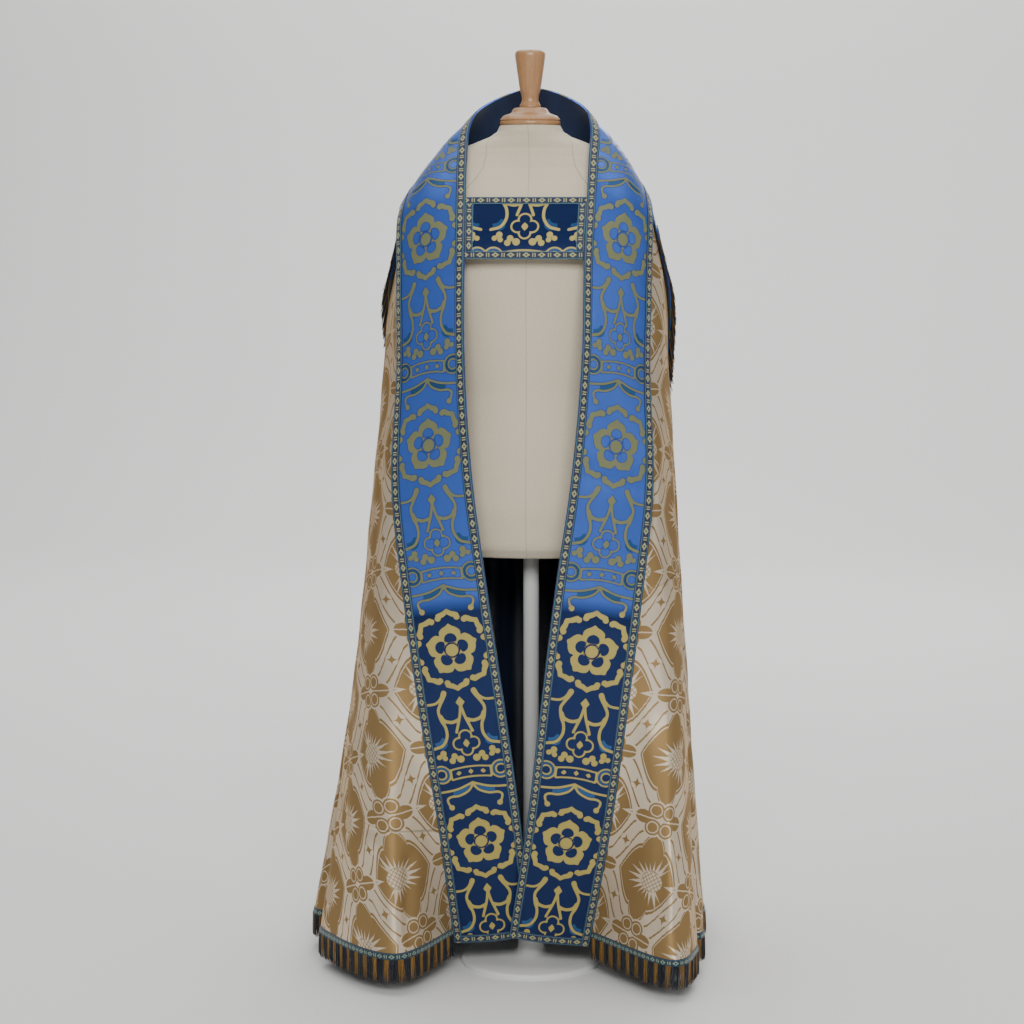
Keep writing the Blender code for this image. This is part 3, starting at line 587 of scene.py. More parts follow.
def woven(x, down):
    """The gold and mid blue distances at a place on the cloth, in millimetres from a rose's middle. The
    chart is mirrored about x = 0, and next repeats stand side by side."""
    fold = np.abs((x + CHART_HALF) % (2 * CHART_HALF) - CHART_HALF) / CHART_CELL
    row = (down % REPEAT) / CHART_CELL
    i, j = np.floor(fold).astype(int), np.floor(row).astype(int)
    a, b = fold - i, row - j
    many = BROCADE_CHART[0].shape
    found = []
    for chart in BROCADE_CHART:
        i0, i1 = np.clip(i, 0, many[0] - 1), np.clip(i + 1, 0, many[0] - 1)
        j0, j1 = j % many[1], (j + 1) % many[1]
        low = chart[i0, j0] * (1 - a) + chart[i1, j0] * a
        high = chart[i0, j1] * (1 - a) + chart[i1, j1] * a
        found.append(low * (1 - b) + high * b)
    return {"gold": found[0], "accent": found[1]}


def cloth_fields(tree):
    """Where a point lies on its flat cloth, in millimetres, as fields."""
    flat = add_node(tree, "UVMap", uv_map="cloth").outputs[0]
    parts = add_node(tree, "SeparateXYZ", {0: flat}).outputs
    return [Field(tree, parts[k]) * 1000.0 for k in range(2)]


def make_brocade():
    """Silk brocade: the satin ground floats lengthwise. Painted sheen and painted shade are fixed in its
    colour: the ground is a bright sheen blue down to the storage fold at 1018 mm along the cloth and a shaded
    navy below it, and the gold weft is painted dim above that line and bright below it. The weft lies across,
    duller and a little raised. The threads are drawn 0.9 mm apart, twice as coarse as the real ones, so that
    they show."""
    finish, tree, shader = new_finish("blue_brocade", Roughness=0.4, Sheen_Weight=0.12)
    x, y = cloth_fields(tree)
    gold = Field(tree, add_node(tree, "Attribute", attribute_name="gold").outputs["Fac"])
    accent = Field(tree, add_node(tree, "Attribute", attribute_name="accent").outputs["Fac"])
    is_gold, is_accent = gold.inside(0.45), accent.inside(0.45)
    outline = (gold - 1.1).inside(0.5)
    fade = add_node(tree, "TexNoise", {"Scale": 9.0, "Detail": 3.0}).outputs[0]
    # Painted sheen and painted shade: this mask is 1 down to 1018 mm along the cloth, where the ground is
    # painted a bright sheen blue and the weft dim, and 0 below, where the ground is painted a shaded navy and
    # the weft bright gold.
    fold = (y - PAINTED_SHEEN_SPLIT_MM).inside(14.0)
    ribs = (y * (2 * math.pi / THREAD_MM)).of("SINE")
    twill = ((x + y * 0.5) * (2 * math.pi / THREAD_MM)).of("SINE")
    # The ground's painted sheen blue and its painted shaded navy, each with a little random tone.
    lit = add_node(tree, "MixRGB", {0: fade, 1: colour("3C62C0"), 2: colour("456AC4")}).outputs[0]
    dark = add_node(tree, "MixRGB", {0: fade, 1: colour("08204C"), 2: colour("0C2656")}).outputs[0]
    ground = add_node(tree, "MixRGB", {0: fold, 1: dark, 2: lit}).outputs[0]
    mid = add_node(tree, "MixRGB", {0: is_accent, 1: ground, 2: colour("275485")}).outputs[0]
    edged = add_node(
        tree, "MixRGB", {0: outline * 0.55, 1: mid, 2: colour("0B1A44")}
    ).outputs[0]
    # The gold weft painted dim under the painted sheen, and painted bright where the ground is painted in
    # shade.
    dull = add_node(tree, "MixRGB", {0: fade, 1: colour("77754A"), 2: colour("69704E")}).outputs[0]
    clear = add_node(tree, "MixRGB", {0: fade, 1: colour("BFAA50"), 2: colour("AC9C50")}).outputs[0]
    weft = add_node(tree, "MixRGB", {0: fold, 1: clear, 2: dull}).outputs[0]
    gold_rib = add_node(
        tree, "MixRGB", {0: (ribs * 0.5 + 0.5) * 0.35, 1: weft, 2: colour("4E5B50")}
    ).outputs[0]
    both = add_node(tree, "MixRGB", {0: is_gold, 1: edged, 2: gold_rib}).outputs[0]
    tree.links.new(both, shader.inputs["Base Color"])
    tree.links.new((is_gold * 0.26 + 0.32).socket, shader.inputs["Roughness"])
    tree.links.new((is_gold * -0.42 + 0.56).socket, shader.inputs["Metallic"])
    shader.inputs["Anisotropic"].default_value = 0.5
    warp = add_node(tree, "Tangent", direction_type="UV_MAP", uv_map="cloth").outputs[0]
    tree.links.new(warp, shader.inputs["Tangent"])
    shader.inputs["Sheen Tint"].default_value = colour("6E8FD0")
    height = is_gold * 0.6 + ribs * is_gold * 0.25 + twill * 0.12
    bump = add_node(tree, "Bump", {"Height": height, "Strength": 0.35, "Distance": 0.0005})
    tree.links.new(bump.outputs[0], shader.inputs["Normal"])
    return finish


def make_lining():
    """Cotton sateen lining: a deep navy with a soft gloss and a fine twill line 1.2 mm apart."""
    finish, tree, shader = new_finish("navy_sateen", Roughness=0.5, Sheen_Weight=0.2)
    x, y = cloth_fields(tree)
    twill = ((x + y) * (2 * math.pi / 1.2)).of("SINE")
    tone = add_node(tree, "TexNoise", {"Scale": 14.0, "Detail": 3.0}).outputs[0]
    mix = add_node(tree, "MixRGB", {0: tone, 1: colour("16243F"), 2: colour("1D2F52")}).outputs[0]
    tree.links.new(mix, shader.inputs["Base Color"])
    bump = add_node(tree, "Bump", {"Height": twill, "Strength": 0.15, "Distance": 0.0003})
    tree.links.new(bump.outputs[0], shader.inputs["Normal"])
    return finish


brocade, lining = make_brocade(), make_lining()
ROSE_AT = 390


BACK_SEAM_GAP = 0.2 * MM


def band_end(across):
    """Where the band meets the hem's circle: the root of its radius squared less the place over squared."""
    return np.sqrt(HEM_RADIUS**2 - (across * BAND_WIDTH) ** 2)


def band_grid(across, columns):
    """Places along the band, from its seam at the back to its end, in a row for each place across it."""
    run = (band_end(across) - BACK_SEAM_GAP)[:, None] * np.linspace(0, 1, columns)
    along = BACK_SEAM_GAP + run
    return along, np.broadcast_to(across[:, None], along.shape)


def make_band(side, mark, rows=61, columns=745):
    """One half of the band: rows across it and columns along it, to the hem's circle."""
    along, across = band_grid(np.linspace(0, 1, rows), columns)
    outer = band_face(side, along, across)
    normals = band_normal(side, along, across)
    x = (across - 0.5) * BAND_WIDTH / MM
    marks = woven(x, along / MM - ROSE_AT)
    uv = np.stack([across * BAND_WIDTH, along], axis=-1)
    inner = outer - normals * BAND_WALL
    return shell(f"band_{mark}", outer, inner, [brocade, lining], (4, 4), uv, marks)


for side, mark in ((-1, "right"), (1, "left")):
    make_band(side, mark)
    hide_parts(f"orphrey_{mark}")


# Half circle
# Cream damask in three widths, joined by a plain seam down each side of the back, and lined with sateen.
# Its straight edge is sewn to the band, and it falls into deep flutes round the sides and back.

BODY_WALL = 2 * MM
YOKE_Z, HEM_Z = 1.402, 0.062
RING_ROWS = [
    # fall; ridge x, y on the right and on the left; side x, y on the right and on the left; back y (mm)
    (0.12, 233, -41, 227, -41, 246, 25, 230, 25, 147),
    (0.25, 243, -65, 229, -69, 265, 27, 241, 15, 183),
    (0.40, 254, -95, 238, -103, 284, 23, 254, 1, 233),
    (0.55, 254, -127, 244, -133, 303, 11, 266, -19, 283),
    (0.70, 242, -161, 245, -165, 325, -11, 278, -45, 337),
    (0.85, 226, -195, 244, -195, 348, -39, 290, -77, 391),
    (1.00, 205, -229, 243, -225, 374, -73, 303, -115, 445),
]
RING_NAMES = "fall ridge_rx ridge_ry ridge_lx ridge_ly side_rx side_ry side_lx side_ly back_y"
RINGS = dict(zip(RING_NAMES.split(), np.array(RING_ROWS, float).T))
RIDGE_TURN, SIDE_TURN, CORNER_TURN = 0.88, 0.70, 0.30
CORNER_SHARE, CORNER_DEPTH, YOKE_BLEND = 0.74, 0.86, 0.12
SIDE_DROP = 14 * MM
SEAM_TURNS = (-0.395, 0.325)

# The flutes as crests and hollows by turns: turn, out or in at the hem in millimetres, the fall it starts at
FOLD_ROWS = [
    (-0.720, 0, 0.25), (-0.645, -74, 0.22), (-0.580, 0, 0.20), (-0.520, -98, 0.12),
    (-0.455, 10, 0.10), (-0.395, -80, 0.09), (-0.330, 38, 0.09), (-0.275, -76, 0.13),
    (-0.210, 46, 0.17), (-0.155, -104, 0.15), (-0.090, 50, 0.11), (-0.030, -100, 0.09),
    (0.025, 54, 0.10), (0.085, -106, 0.14), (0.150, 44, 0.18), (0.205, -84, 0.15),
    (0.265, 46, 0.11), (0.325, -66, 0.09), (0.385, 34, 0.09), (0.450, -84, 0.11),
    (0.510, 8, 0.14), (0.570, -92, 0.18), (0.630, 0, 0.22), (0.680, -48, 0.25),
    (0.730, 0, 0.25),
]
FOLD_TURNS, FOLD_OUTS, FOLD_STARTS = np.array(FOLD_ROWS, float).T
FOLD_GROWTH, FOLD_ROUND = 0.85, 0.95

TURNS = np.array([-1, -RIDGE_TURN, -SIDE_TURN, -CORNER_TURN, 0, CORNER_TURN, SIDE_TURN, RIDGE_TURN, 1])
RING_FALLS = np.concatenate([[0], RINGS["fall"]])


def seam_point(turn):
    """The yoke seam, across the back and over both shoulders: the band's outer edge there."""
    along = np.abs(turn) * CORNER_AT
    right = np.asarray(turn < 0)[..., None]
    return np.where(right, band_edge("outer", -1, along), band_edge("outer", 1, along))


def ring_column(x, y, turn, drop=0.0):
    """One control line down the body: its yoke seam point, then its rows."""
    start = seam_point(np.array([turn]))[0]
    z = start[2] - RINGS["fall"] * (start[2] - HEM_Z) - drop * (1 - RINGS["fall"])
    return np.vstack([start, np.stack([x * MM, y * MM, z], axis=1)])


def ring_columns():
    """The seven control lines between the front seams, in the order of the turns."""
    back, lines = RINGS["back_y"], []
    for side, mark in ((-1, "r"), (1, "l")):
        ridge_x, ridge_y, side_x, side_y = (
            RINGS[f"{place}_{mark}{axis}"] for place in ("ridge", "side") for axis in "xy"
        )
        ridge = ring_column(side * ridge_x, ridge_y, side * RIDGE_TURN)
        flank = ring_column(side * side_x, side_y, side * SIDE_TURN, SIDE_DROP)
        corner = ring_column(
            side * side_x * CORNER_SHARE, back * CORNER_DEPTH, side * CORNER_TURN
        )
        lines.append([ridge, flank, corner][::-side])
    return lines[0] + [ring_column(0 * back, back, 0)] + lines[1]


RING_COLUMNS = ring_columns()
SEAM_KNOTS = seam_point(TURNS)


def fall_to_along(fall):
    return CORNER_AT + fall * (BODY_HEM_AT - CORNER_AT)


def ring_point(turn, fall):
    """The half circle's broad form, without its flutes: a spline round through the control lines."""
    weights = through(TURNS, np.eye(len(TURNS)), turn)
    points = [band_edge("outer", -1, fall_to_along(fall))]
    points += [through(RING_FALLS, line, fall) for line in RING_COLUMNS]
    points += [band_edge("outer", 1, fall_to_along(fall))]
    ring = sum(weights[..., i, None] * point for i, point in enumerate(points))
    at_seam = weights @ SEAM_KNOTS
    return ring + (1 - ease(fall / YOKE_BLEND))[..., None] * (seam_point(turn) - at_seam)


def slopes_of(surface, turn, fall):
    """A surface's directions round the body and down it."""
    fall = np.maximum(fall, 2 * STEP)
    over = surface(turn + STEP, fall) - surface(turn - STEP, fall)
    down = surface(turn, fall + STEP) - surface(turn, fall - STEP)
    return unit(over), unit(down)


def surface_normal(surface, turn, fall):
    over, down = slopes_of(surface, turn, fall)
    return unit(np.cross(over, down))


def fold_shape(turn, fall):
    """How far the flutes stand out of the broad form, half a cosine wave between two folds, and how far
    they widen sideways, a whole sine wave. Each grows from its start to its full depth at the hem."""
    i = np.clip(np.searchsorted(FOLD_TURNS, turn, side="right") - 1, 0, len(FOLD_TURNS) - 2)
    step = FOLD_TURNS[i + 1] - FOLD_TURNS[i]
    share = np.clip((turn - FOLD_TURNS[i]) / step, 0, 1)
    grown = [
        np.clip((fall - FOLD_STARTS[k]) / (1 - FOLD_STARTS[k]), 0, 1) ** FOLD_GROWTH
        for k in (i, i + 1)
    ]
    wave = 0.5 - 0.5 * np.cos(math.pi * share)
    height = FOLD_OUTS[i] * grown[0] * (1 - wave) + FOLD_OUTS[i + 1] * grown[1] * wave
    shift = FOLD_ROUND * step * np.sin(2 * math.pi * share) / (2 * math.pi)
    return height * MM, shift * (grown[0] * (1 - wave) + grown[1] * wave)


def body_smooth(turn, fall):
    """The half circle with its flutes, as its solid has them."""
    height, shift = fold_shape(turn, fall)
    out = unit(surface_normal(ring_point, turn + shift, fall) * [1, 1, 0])
    return ring_point(turn + shift, fall) + out * height[..., None]


MAP_TURNS, MAP_FALLS = 601, 61
FLUTED_FROM = 0.86


def cloth_map():
    """The flat half circle for a grid of turns and falls. A line of equal fall goes from the yoke seam's
    straight line to the hem's circle. Along it, places are as far apart as on the hung cloth, and the cloth
    left over is shared out where the flutes are, by their length."""
    turn, fall = np.meshgrid(
        np.linspace(-1, 1, MAP_TURNS), np.linspace(0, 1, MAP_FALLS), indexing="ij"
    )
    most = math.pi / 2 - math.asin(BAND_WIDTH / HEM_RADIUS)
    top = np.stack([turn * CORNER_AT, np.full_like(turn, BAND_WIDTH)], axis=-1)
    hem = HEM_RADIUS * np.stack([np.sin(turn * most), np.cos(turn * most)], axis=-1)
    flat = top + (hem - top) * fall[..., None]
    steps = np.linalg.norm(np.diff(body_smooth(turn, fall), axis=0), axis=-1)
    flat_steps = np.linalg.norm(np.diff(flat, axis=0), axis=-1)
    middle = np.abs(turn[1:] + turn[:-1]) / 2
    spare = steps * ease((FLUTED_FROM - middle) / 0.1)
    steps = steps + spare / spare.sum(axis=0) * (flat_steps.sum(axis=0) - steps.sum(axis=0))
    run, flat_run = (np.vstack([0 * s[:1], np.cumsum(s, axis=0)]) for s in (steps, flat_steps))
    for k in range(MAP_FALLS):
        flat[:, k] = np.stack(
            [np.interp(run[:, k], flat_run[:, k], flat[:, k, axis]) for axis in (0, 1)], axis=-1
        )
    return flat


CLOTH_MAP = cloth_map()


def cloth_place(turn, fall):
    """Where a point lies on the flat half circle, read between the four nearest places of the map. The
    straight edge runs along x, and y is the way towards the hem."""
    u, v = (turn + 1) / 2 * (MAP_TURNS - 1), fall * (MAP_FALLS - 1)
    i = np.clip(np.floor(u).astype(int), 0, MAP_TURNS - 2)
    j = np.clip(np.floor(v).astype(int), 0, MAP_FALLS - 2)
    a, b = (u - i)[..., None], (v - j)[..., None]
    low = CLOTH_MAP[i, j] * (1 - a) + CLOTH_MAP[i + 1, j] * a
    high = CLOTH_MAP[i, j + 1] * (1 - a) + CLOTH_MAP[i + 1, j + 1] * a
    return low * (1 - b) + high * b


# Creases: turn and fall of both ends, height in millimetres and width in millimetres. A width below 12 is the
# sharp step of a storage fold, and a greater one a soft ridge or trough.
BODY_CREASES = [
    (-1.00, 0.842, -0.62, 0.846, 0.8, 9),
    (-0.93, 0.850, -0.90, 1.000, -5.0, 17),
    (-0.84, 0.850, -0.82, 1.000, -4.0, 15),
    (-0.97, 0.300, -0.90, 0.620, 3.0, 22),
    (-0.86, 0.120, -0.84, 0.520, -3.0, 20),
    (-0.80, 0.450, -0.78, 0.900, 3.5, 24),
    (0.94, 0.600, 0.90, 0.980, -4.0, 18),
    (0.97, 0.280, 0.92, 0.560, 3.0, 20),
    (0.84, 0.740, 0.83, 1.000, -5.0, 18),
    (0.80, 0.300, 0.78, 0.760, 3.5, 24),
    (1.00, 0.505, 0.66, 0.498, 0.6, 8),
    (-0.42, 0.540, 0.40, 0.545, 0.7, 8),
    (-0.24, 0.620, -0.20, 0.800, 3.0, 14),
    (0.12, 0.640, 0.10, 0.860, 3.0, 14),
    (0.33, 0.560, 0.31, 0.900, -3.0, 14),
]
SHARP_WIDTH = 12


def crease_end(turn, fall):
    """One end of a crease on the flat cloth, in millimetres."""
    return cloth_place(np.array(turn), np.array(fall)) / MM


def body_face(turn, fall):
    """The half circle as it hangs: its fluted form, with a crease for each row of the table, and a slow ripple
    that dies out at the seams. A soft crease is a bell curve of the distance from the line between its ends,
    and a storage fold is a step across that line, a hyperbolic tangent that fades on both sides."""
    place = cloth_place(turn, fall) / MM
    height = 0.9 * np.sin(place[..., 0] / 47 + place[..., 1] / 95) * np.sin(place[..., 1] / 71 + 1)
    height = height + 0.6 * np.sin(place[..., 0] / 23 - place[..., 1] / 60)
    for turn_a, fall_a, turn_b, fall_b, tall, wide in BODY_CREASES:
        a, b = crease_end(turn_a, fall_a), crease_end(turn_b, fall_b)
        way = b - a
        t = np.clip(((place - a) @ way) / (way @ way), 0, 1)
        away = np.linalg.norm(place - a - t[..., None] * way, axis=-1)
        fade = tall * ease(t * 5) * ease((1 - t) * 5)
        if wide < SHARP_WIDTH:
            beside = way[1] * (place - a)[..., 0] - way[0] * (place - a)[..., 1]
            beside = beside / np.linalg.norm(way)
            fade = tall * (0.75 + 0.25 * np.sin(t * 9)) * np.tanh(beside / 2.5)
            height = height + fade * np.exp(-away / (3 * wide))
        else:
            height = height + fade * np.exp(-((away / wide) ** 2))
    edge = ease((1 - np.abs(turn)) * 24) * ease(fall * 16)
    out = surface_normal(body_smooth, turn, fall)
    return body_smooth(turn, fall) + out * (height * edge * MM)[..., None]


FIGURE_WIDTH, FIGURE_HEIGHT = 212.0, 246.0


def damask_figure(x, y):
    """The damask's figure as a distance in millimetres, below 0 inside it. Ogee cells stand in a half drop:
    one is bounded by x = width/4 (1 + cos(2 pi y / height)), and a cell of the other half lies between. Each
    cell has a scalloped line along its edge and a solid medallion, out of which a thistle with a netted seed
    head is cut. Four-lobed flowers sit where cells touch, and a star halfway along each edge."""
    width, height = FIGURE_WIDTH, FIGURE_HEIGHT
    across = x.of("PINGPONG", width / 2)
    up = (y + height / 2).of("WRAP", height, 0.0) - height / 2
    wave = up * (2 * math.pi / height)
    slope = wave.of("SINE") * (math.pi * width / 2 / height)
    edge = across - (wave.of("COSINE") + 1.0) * (width / 4)
    edge = edge / (slope * slope + 1.0).of("SQRT")
    second = edge.of("GREATER_THAN", 0.0)
    cx = across + second * (across * -2.0 + width / 2)
    cy = up - second * up.of("SIGN") * (height / 2)
    inward = abs(edge)

    arches = abs((cy * (3.5 * math.pi / height)).of("COSINE"))
    line = abs(inward - arches * 6.0 - 8.0) - 1.7
    spread = abs((cy * (5.5 * math.pi / height)).of("COSINE")).of("POWER", 0.6)
    solid = -(inward + spread * 11.0 - 33.0)
    vein = abs(inward + spread * 11.0 - 38.0) - 0.9
    solid = solid.high(-vein)

    head = cy + 14.0
    r, turn = hypotenuse(cx, head), abs(cx).of("ARCTAN2", head)
    reach = (turn * 2.6).of("COSINE") * 12.0 + 44.0
    spine = abs((turn * (180 / math.pi) + 8.5).of("WRAP", 17.0, 0.0) - 8.5) * r * (math.pi / 180)
    spikes = spine - (reach - r) * 0.125
    spikes = spikes.high(-r + 19.0)
    leaves = spikes.high(turn * 18.0 - 42.0)
    seed = hypotenuse(cx, head * 0.8) - 17.5
    netted = abs(((cx + head) * (math.pi / 9.0)).of("SINE")).low(
        abs(((cx - head) * (math.pi / 9.0)).of("SINE"))
    ) * 2.8 - 0.8
    stem = abs(cx - (head * 0.09).of("SINE") * 3.0) - 1.9
    stem = stem.high(head + 16.0).high(-head - 60.0)
    thistle = leaves.low(seed).low(stem)
    solid = solid.high(-thistle).low(netted.high(seed))

    vertex = (across / (width / 2)).of("GREATER_THAN", abs(up) / (height / 2))
    jx = across + vertex * (across * -2.0 + width / 2)
    jy = (abs(up) * -1.0 + height / 2) * (vertex * -1.0 + 1.0) + abs(up) * vertex
    lobe = hypotenuse(jx - 15.0, (jy - 13.0) * 0.9) - 14.0
    bell = hypotenuse(jx, (jy - 34.0) * 0.7) - 12.0
    bloom = lobe.low(bell)
    rings = abs(lobe + 4.5) - 1.0
    flower = bloom.high(-rings).high(-(abs(jx) - 1.1))
    clear = bloom - 3.2

    star_x, star_y = across - width / 4, abs(up) - height / 4
    star = abs(star_x).of("SQRT") + abs(star_y).of("SQRT") - 3.6
    star_room = hypotenuse(star_x, star_y) - 12.0
    figure = line.low(solid).high(-clear)
    return figure.high(-star_room).low(star * 1.6).low(flower)


def make_damask():
    """Silk damask: the cream warp satin shines, and the tan weft figure lies dull in it, so they trade places
    as the light turns. Both go gold where they turn away. Threads are drawn 0.9 mm apart, twice as coarse as
    the real ones, so that they show."""
    finish, tree, shader = new_finish("cream_damask", Roughness=0.4, Sheen_Weight=0.1)
    x, y = cloth_fields(tree)
    wobble = add_node(tree, "TexNoise", {"Scale": 60.0, "Detail": 1.0}).outputs[0]
    shift = (Field(tree, wobble) - 0.5) * 2.0
    figure = damask_figure(x + shift, -(y + shift))
    is_figure = figure.inside(0.45)
    tone = add_node(tree, "TexNoise", {"Scale": 5.0, "Detail": 3.0}).outputs[0]
    ribs = (x * (2 * math.pi / THREAD_MM)).of("SINE")
    twill = ((x * 0.6 + y) * (2 * math.pi / THREAD_MM)).of("SINE")
    ground = add_node(tree, "MixRGB", {0: tone, 1: colour("DED0BC"), 2: colour("D0BEA4")}).outputs[0]
    weft = add_node(tree, "MixRGB", {0: tone, 1: colour("9A8058"), 2: colour("8A6F48")}).outputs[0]
    ribbed = add_node(
        tree, "MixRGB", {0: (ribs * 0.5 + 0.5) * 0.25, 1: weft, 2: colour("7E6640")}
    ).outputs[0]
    both = add_node(tree, "MixRGB", {0: is_figure, 1: ground, 2: ribbed}).outputs[0]
    # Painted shadow along each storage fold: a thin dark brown line on the step, where shade falls in the
    # crease, beside its bump.
    step, shadow = x * 0.0, x * 0.0
    for turn_a, fall_a, turn_b, fall_b, tall, wide in BODY_CREASES:
        if wide < SHARP_WIDTH:
            a, b = crease_end(turn_a, fall_a), crease_end(turn_b, fall_b)
            (along_x, along_y), (middle_x, middle_y) = unit(b - a).tolist(), ((a + b) / 2).tolist()
            beside = (x - middle_x) * along_y - (y - middle_y) * along_x
            beyond = abs((x - middle_x) * along_x + (y - middle_y) * along_y)
            near = (beyond - float(np.linalg.norm(b - a)) / 2).inside(20.0)
            step = step + (beside / 2.0).of("TANH") * near * (14.0 * tall)
            shadow = shadow.high((abs(beside) - 1.3).inside(1.4) * near * (0.5 * tall))
    # The colour with the painted fold shadow mixed in.
    fold_shadow_painted = add_node(tree, "MixRGB", {0: shadow, 1: both, 2: colour("4A3A22")}).outputs[0]
    tree.links.new(fold_shadow_painted, shader.inputs["Base Color"])
    tree.links.new((is_figure * 0.14 + 0.34).socket, shader.inputs["Roughness"])
    tree.links.new((is_figure * -0.10 + 0.60).socket, shader.inputs["Metallic"])
    shader.inputs["Specular Tint"].default_value = colour("C8A060")
    shader.inputs["Sheen Tint"].default_value = colour("C8962E")
    shader.inputs["Sheen Roughness"].default_value = 0.35
    height = is_figure * 0.5 + ribs * is_figure * 0.2 + twill * 0.1 + step
    bump = add_node(tree, "Bump", {"Height": height, "Strength": 0.3, "Distance": 0.0005})
    tree.links.new(bump.outputs[0], shader.inputs["Normal"])
    return finish


damask = make_damask()


def turns_between(start, end, steps_fold=20, steps_front=104):
    """Columns round a width of the cloth: evenly from fold to fold, and evenly on the plain fronts."""
    places = FOLD_TURNS[(FOLD_TURNS > start + 1e-6) & (FOLD_TURNS < end - 1e-6)]
    knots = [start, *places, end]
    runs = []
    for a, b in zip(knots[:-1], knots[1:]):
        plain = a < FOLD_TURNS[0] or b > FOLD_TURNS[-1]
        runs.append(np.linspace(a, b, (steps_front if plain else steps_fold) + 1)[:-1])
    return np.concatenate([*runs, [end]])


def flat_cut(start, end):
    """A width's flat size and area: the box of its outline on the half circle, and the sum of its cells,
    each half the cross product of its diagonals."""
    turn, fall = np.meshgrid(np.linspace(start, end, 200), np.linspace(0, 1, 200), indexing="ij")
    place = cloth_place(turn, fall)
    size = place.reshape(-1, 2).max(axis=0) - place.reshape(-1, 2).min(axis=0)
    a, b = place[1:, 1:] - place[:-1, :-1], place[1:, :-1] - place[:-1, 1:]
    area = np.abs(a[..., 0] * b[..., 1] - a[..., 1] * b[..., 0]).sum() / 2
    return [float(s) for s in size], float(area)


WIDTHS = (("right", -1.0, SEAM_TURNS[0]), ("back", *SEAM_TURNS), ("left", SEAM_TURNS[1], 1.0))
for mark, start, end in WIDTHS:
    turn, fall = np.meshgrid(turns_between(start, end), np.linspace(0, 1, 241), indexing="ij")
    outer = body_face(turn, fall)
    inner = outer - surface_normal(body_smooth, turn, fall) * BODY_WALL
    shell(
        f"damask_{mark}", outer, inner, [damask, lining], (1, 6), cloth_place(turn, fall)
    )
    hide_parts(f"body_{mark}")


# Hood
# A flat shield of the same brocade as the band, lined, that hangs from the yoke seam over the back.
# Its pattern stands upright at the centre of the back, with a rose in the middle.

HOOD_ROWS = [
    # top turn, edge turn, edge fall
    (0.00, 0.000, 0.380), (0.20, 0.130, 0.376), (0.38, 0.240, 0.355), (0.54, 0.330, 0.310),
    (0.68, 0.430, 0.240), (0.80, 0.545, 0.152), (0.87, 0.680, 0.090), (0.93, 0.850, 0.042),
]
HOOD_TOPS, HOOD_EDGE_TURNS, HOOD_EDGE_FALLS = np.array(HOOD_ROWS, float).T
HOOD_FAN, HOOD_EASE, HOOD_FOLDS_FROM = 0.8, 0.10, 0.06
HOOD_STAND = 5 * MM
HOOD_ROSE_AT = 215
HOOD_MIDDLE = 100
LAY_GAP = 0.4 * MM


def hood_place(t, share):
    """The turn and fall of a point of the hood, by its line's turn at the top and its share down it."""
    edge_turn = np.sign(t) * through(HOOD_TOPS, HOOD_EDGE_TURNS, np.abs(t))
    edge_fall = through(HOOD_TOPS, HOOD_EDGE_FALLS, np.abs(t))
    start = 2 * LAY_GAP / (YOKE_Z - HEM_Z)
    return t + (edge_turn - t) * share**HOOD_FAN, start + (edge_fall - start) * share


def hood_face(t, share):
    """The hood stands clear of the flutes' crests under it, and drops a little between them."""
    turn, fall = hood_place(t, share)
    grown = np.clip((fall - HOOD_FOLDS_FROM) / (1 - HOOD_FOLDS_FROM), 0, 1)
    crest = FOLD_OUTS.max() * MM * grown
    stand = LAY_GAP * 2 + (HOOD_STAND + crest) * ease(fall / HOOD_EASE)
    ripple = 0.8 * MM * np.sin(turn * 31 + 1) * ease(share * 2)
    normal = surface_normal(ring_point, turn, fall)
    return ring_point(turn, fall) + normal * (stand + BODY_WALL + ripple)[..., None], normal


t, share = np.meshgrid(
    np.linspace(-1, 1, 2 * HOOD_MIDDLE + 1) * HOOD_TOPS[-1], np.linspace(0, 1, 101), indexing="ij"
)
hood_outer, hood_normal = hood_face(t, share)
steps_down = np.linalg.norm(np.diff(hood_outer, axis=1, prepend=hood_outer[:, :1]), axis=-1)
steps_over = np.linalg.norm(np.diff(hood_outer, axis=0, prepend=hood_outer[:1]), axis=-1)
hood_down = np.cumsum(steps_down, axis=1)
hood_over = np.cumsum(steps_over, axis=0)
hood_over = hood_over - hood_over[[HOOD_MIDDLE]]
# The hood's cloth lies under 1018 mm along the brocade, so its colour is the brocade's painted sheen blue with
# the painted dim gold.
hood = shell(
    "hood_shield",
    hood_outer,
    hood_outer - hood_normal * BODY_WALL,
    [brocade, lining],
    (2, 2),
    np.stack([hood_over, hood_down], axis=-1),
    woven(hood_over / MM, hood_down / MM - HOOD_ROSE_AT),
)
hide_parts("hood")


# Morse
# A strap of the band's brocade, stiffened and lined, that closes the fronts across the chest.
# It is sewn to one front, hooked to the other, and framed with braid on all four sides.

MORSE_TOP_AT, MORSE_FOOT_AT = 323 * MM, 436 * MM
MORSE_BOW = 5 * MM
MORSE_BRAID = 13 * MM
MORSE_ROSE_AT = -112
# The morse's cloth starts 800 mm along the brocade, past 1018 mm, so its colour is the brocade's painted
# shaded navy with the painted bright gold.
MORSE_CUT_AT = 800 * MM


def morse_face(across, along):
    """The strap between the bands' inner edges: a straight line from one to the other, bowed forward by a
    parabola, and a hair clear of each band."""
    def edge(side):
        zero = np.zeros_like(along)
        front = band_flat(side, along, zero)[0]
        behind = front - band_normal(side, along, zero) * BAND_WALL
        front[..., 0] = side * np.minimum(np.abs(front[..., 0]), np.abs(behind[..., 0]))
        front[..., 0] -= side * LAY_GAP
        return front

    point = edge(-1) * (1 - across[..., None]) + edge(1) * across[..., None]
    point[..., 1] -= MORSE_BOW * 4 * across * (1 - across)
    return point


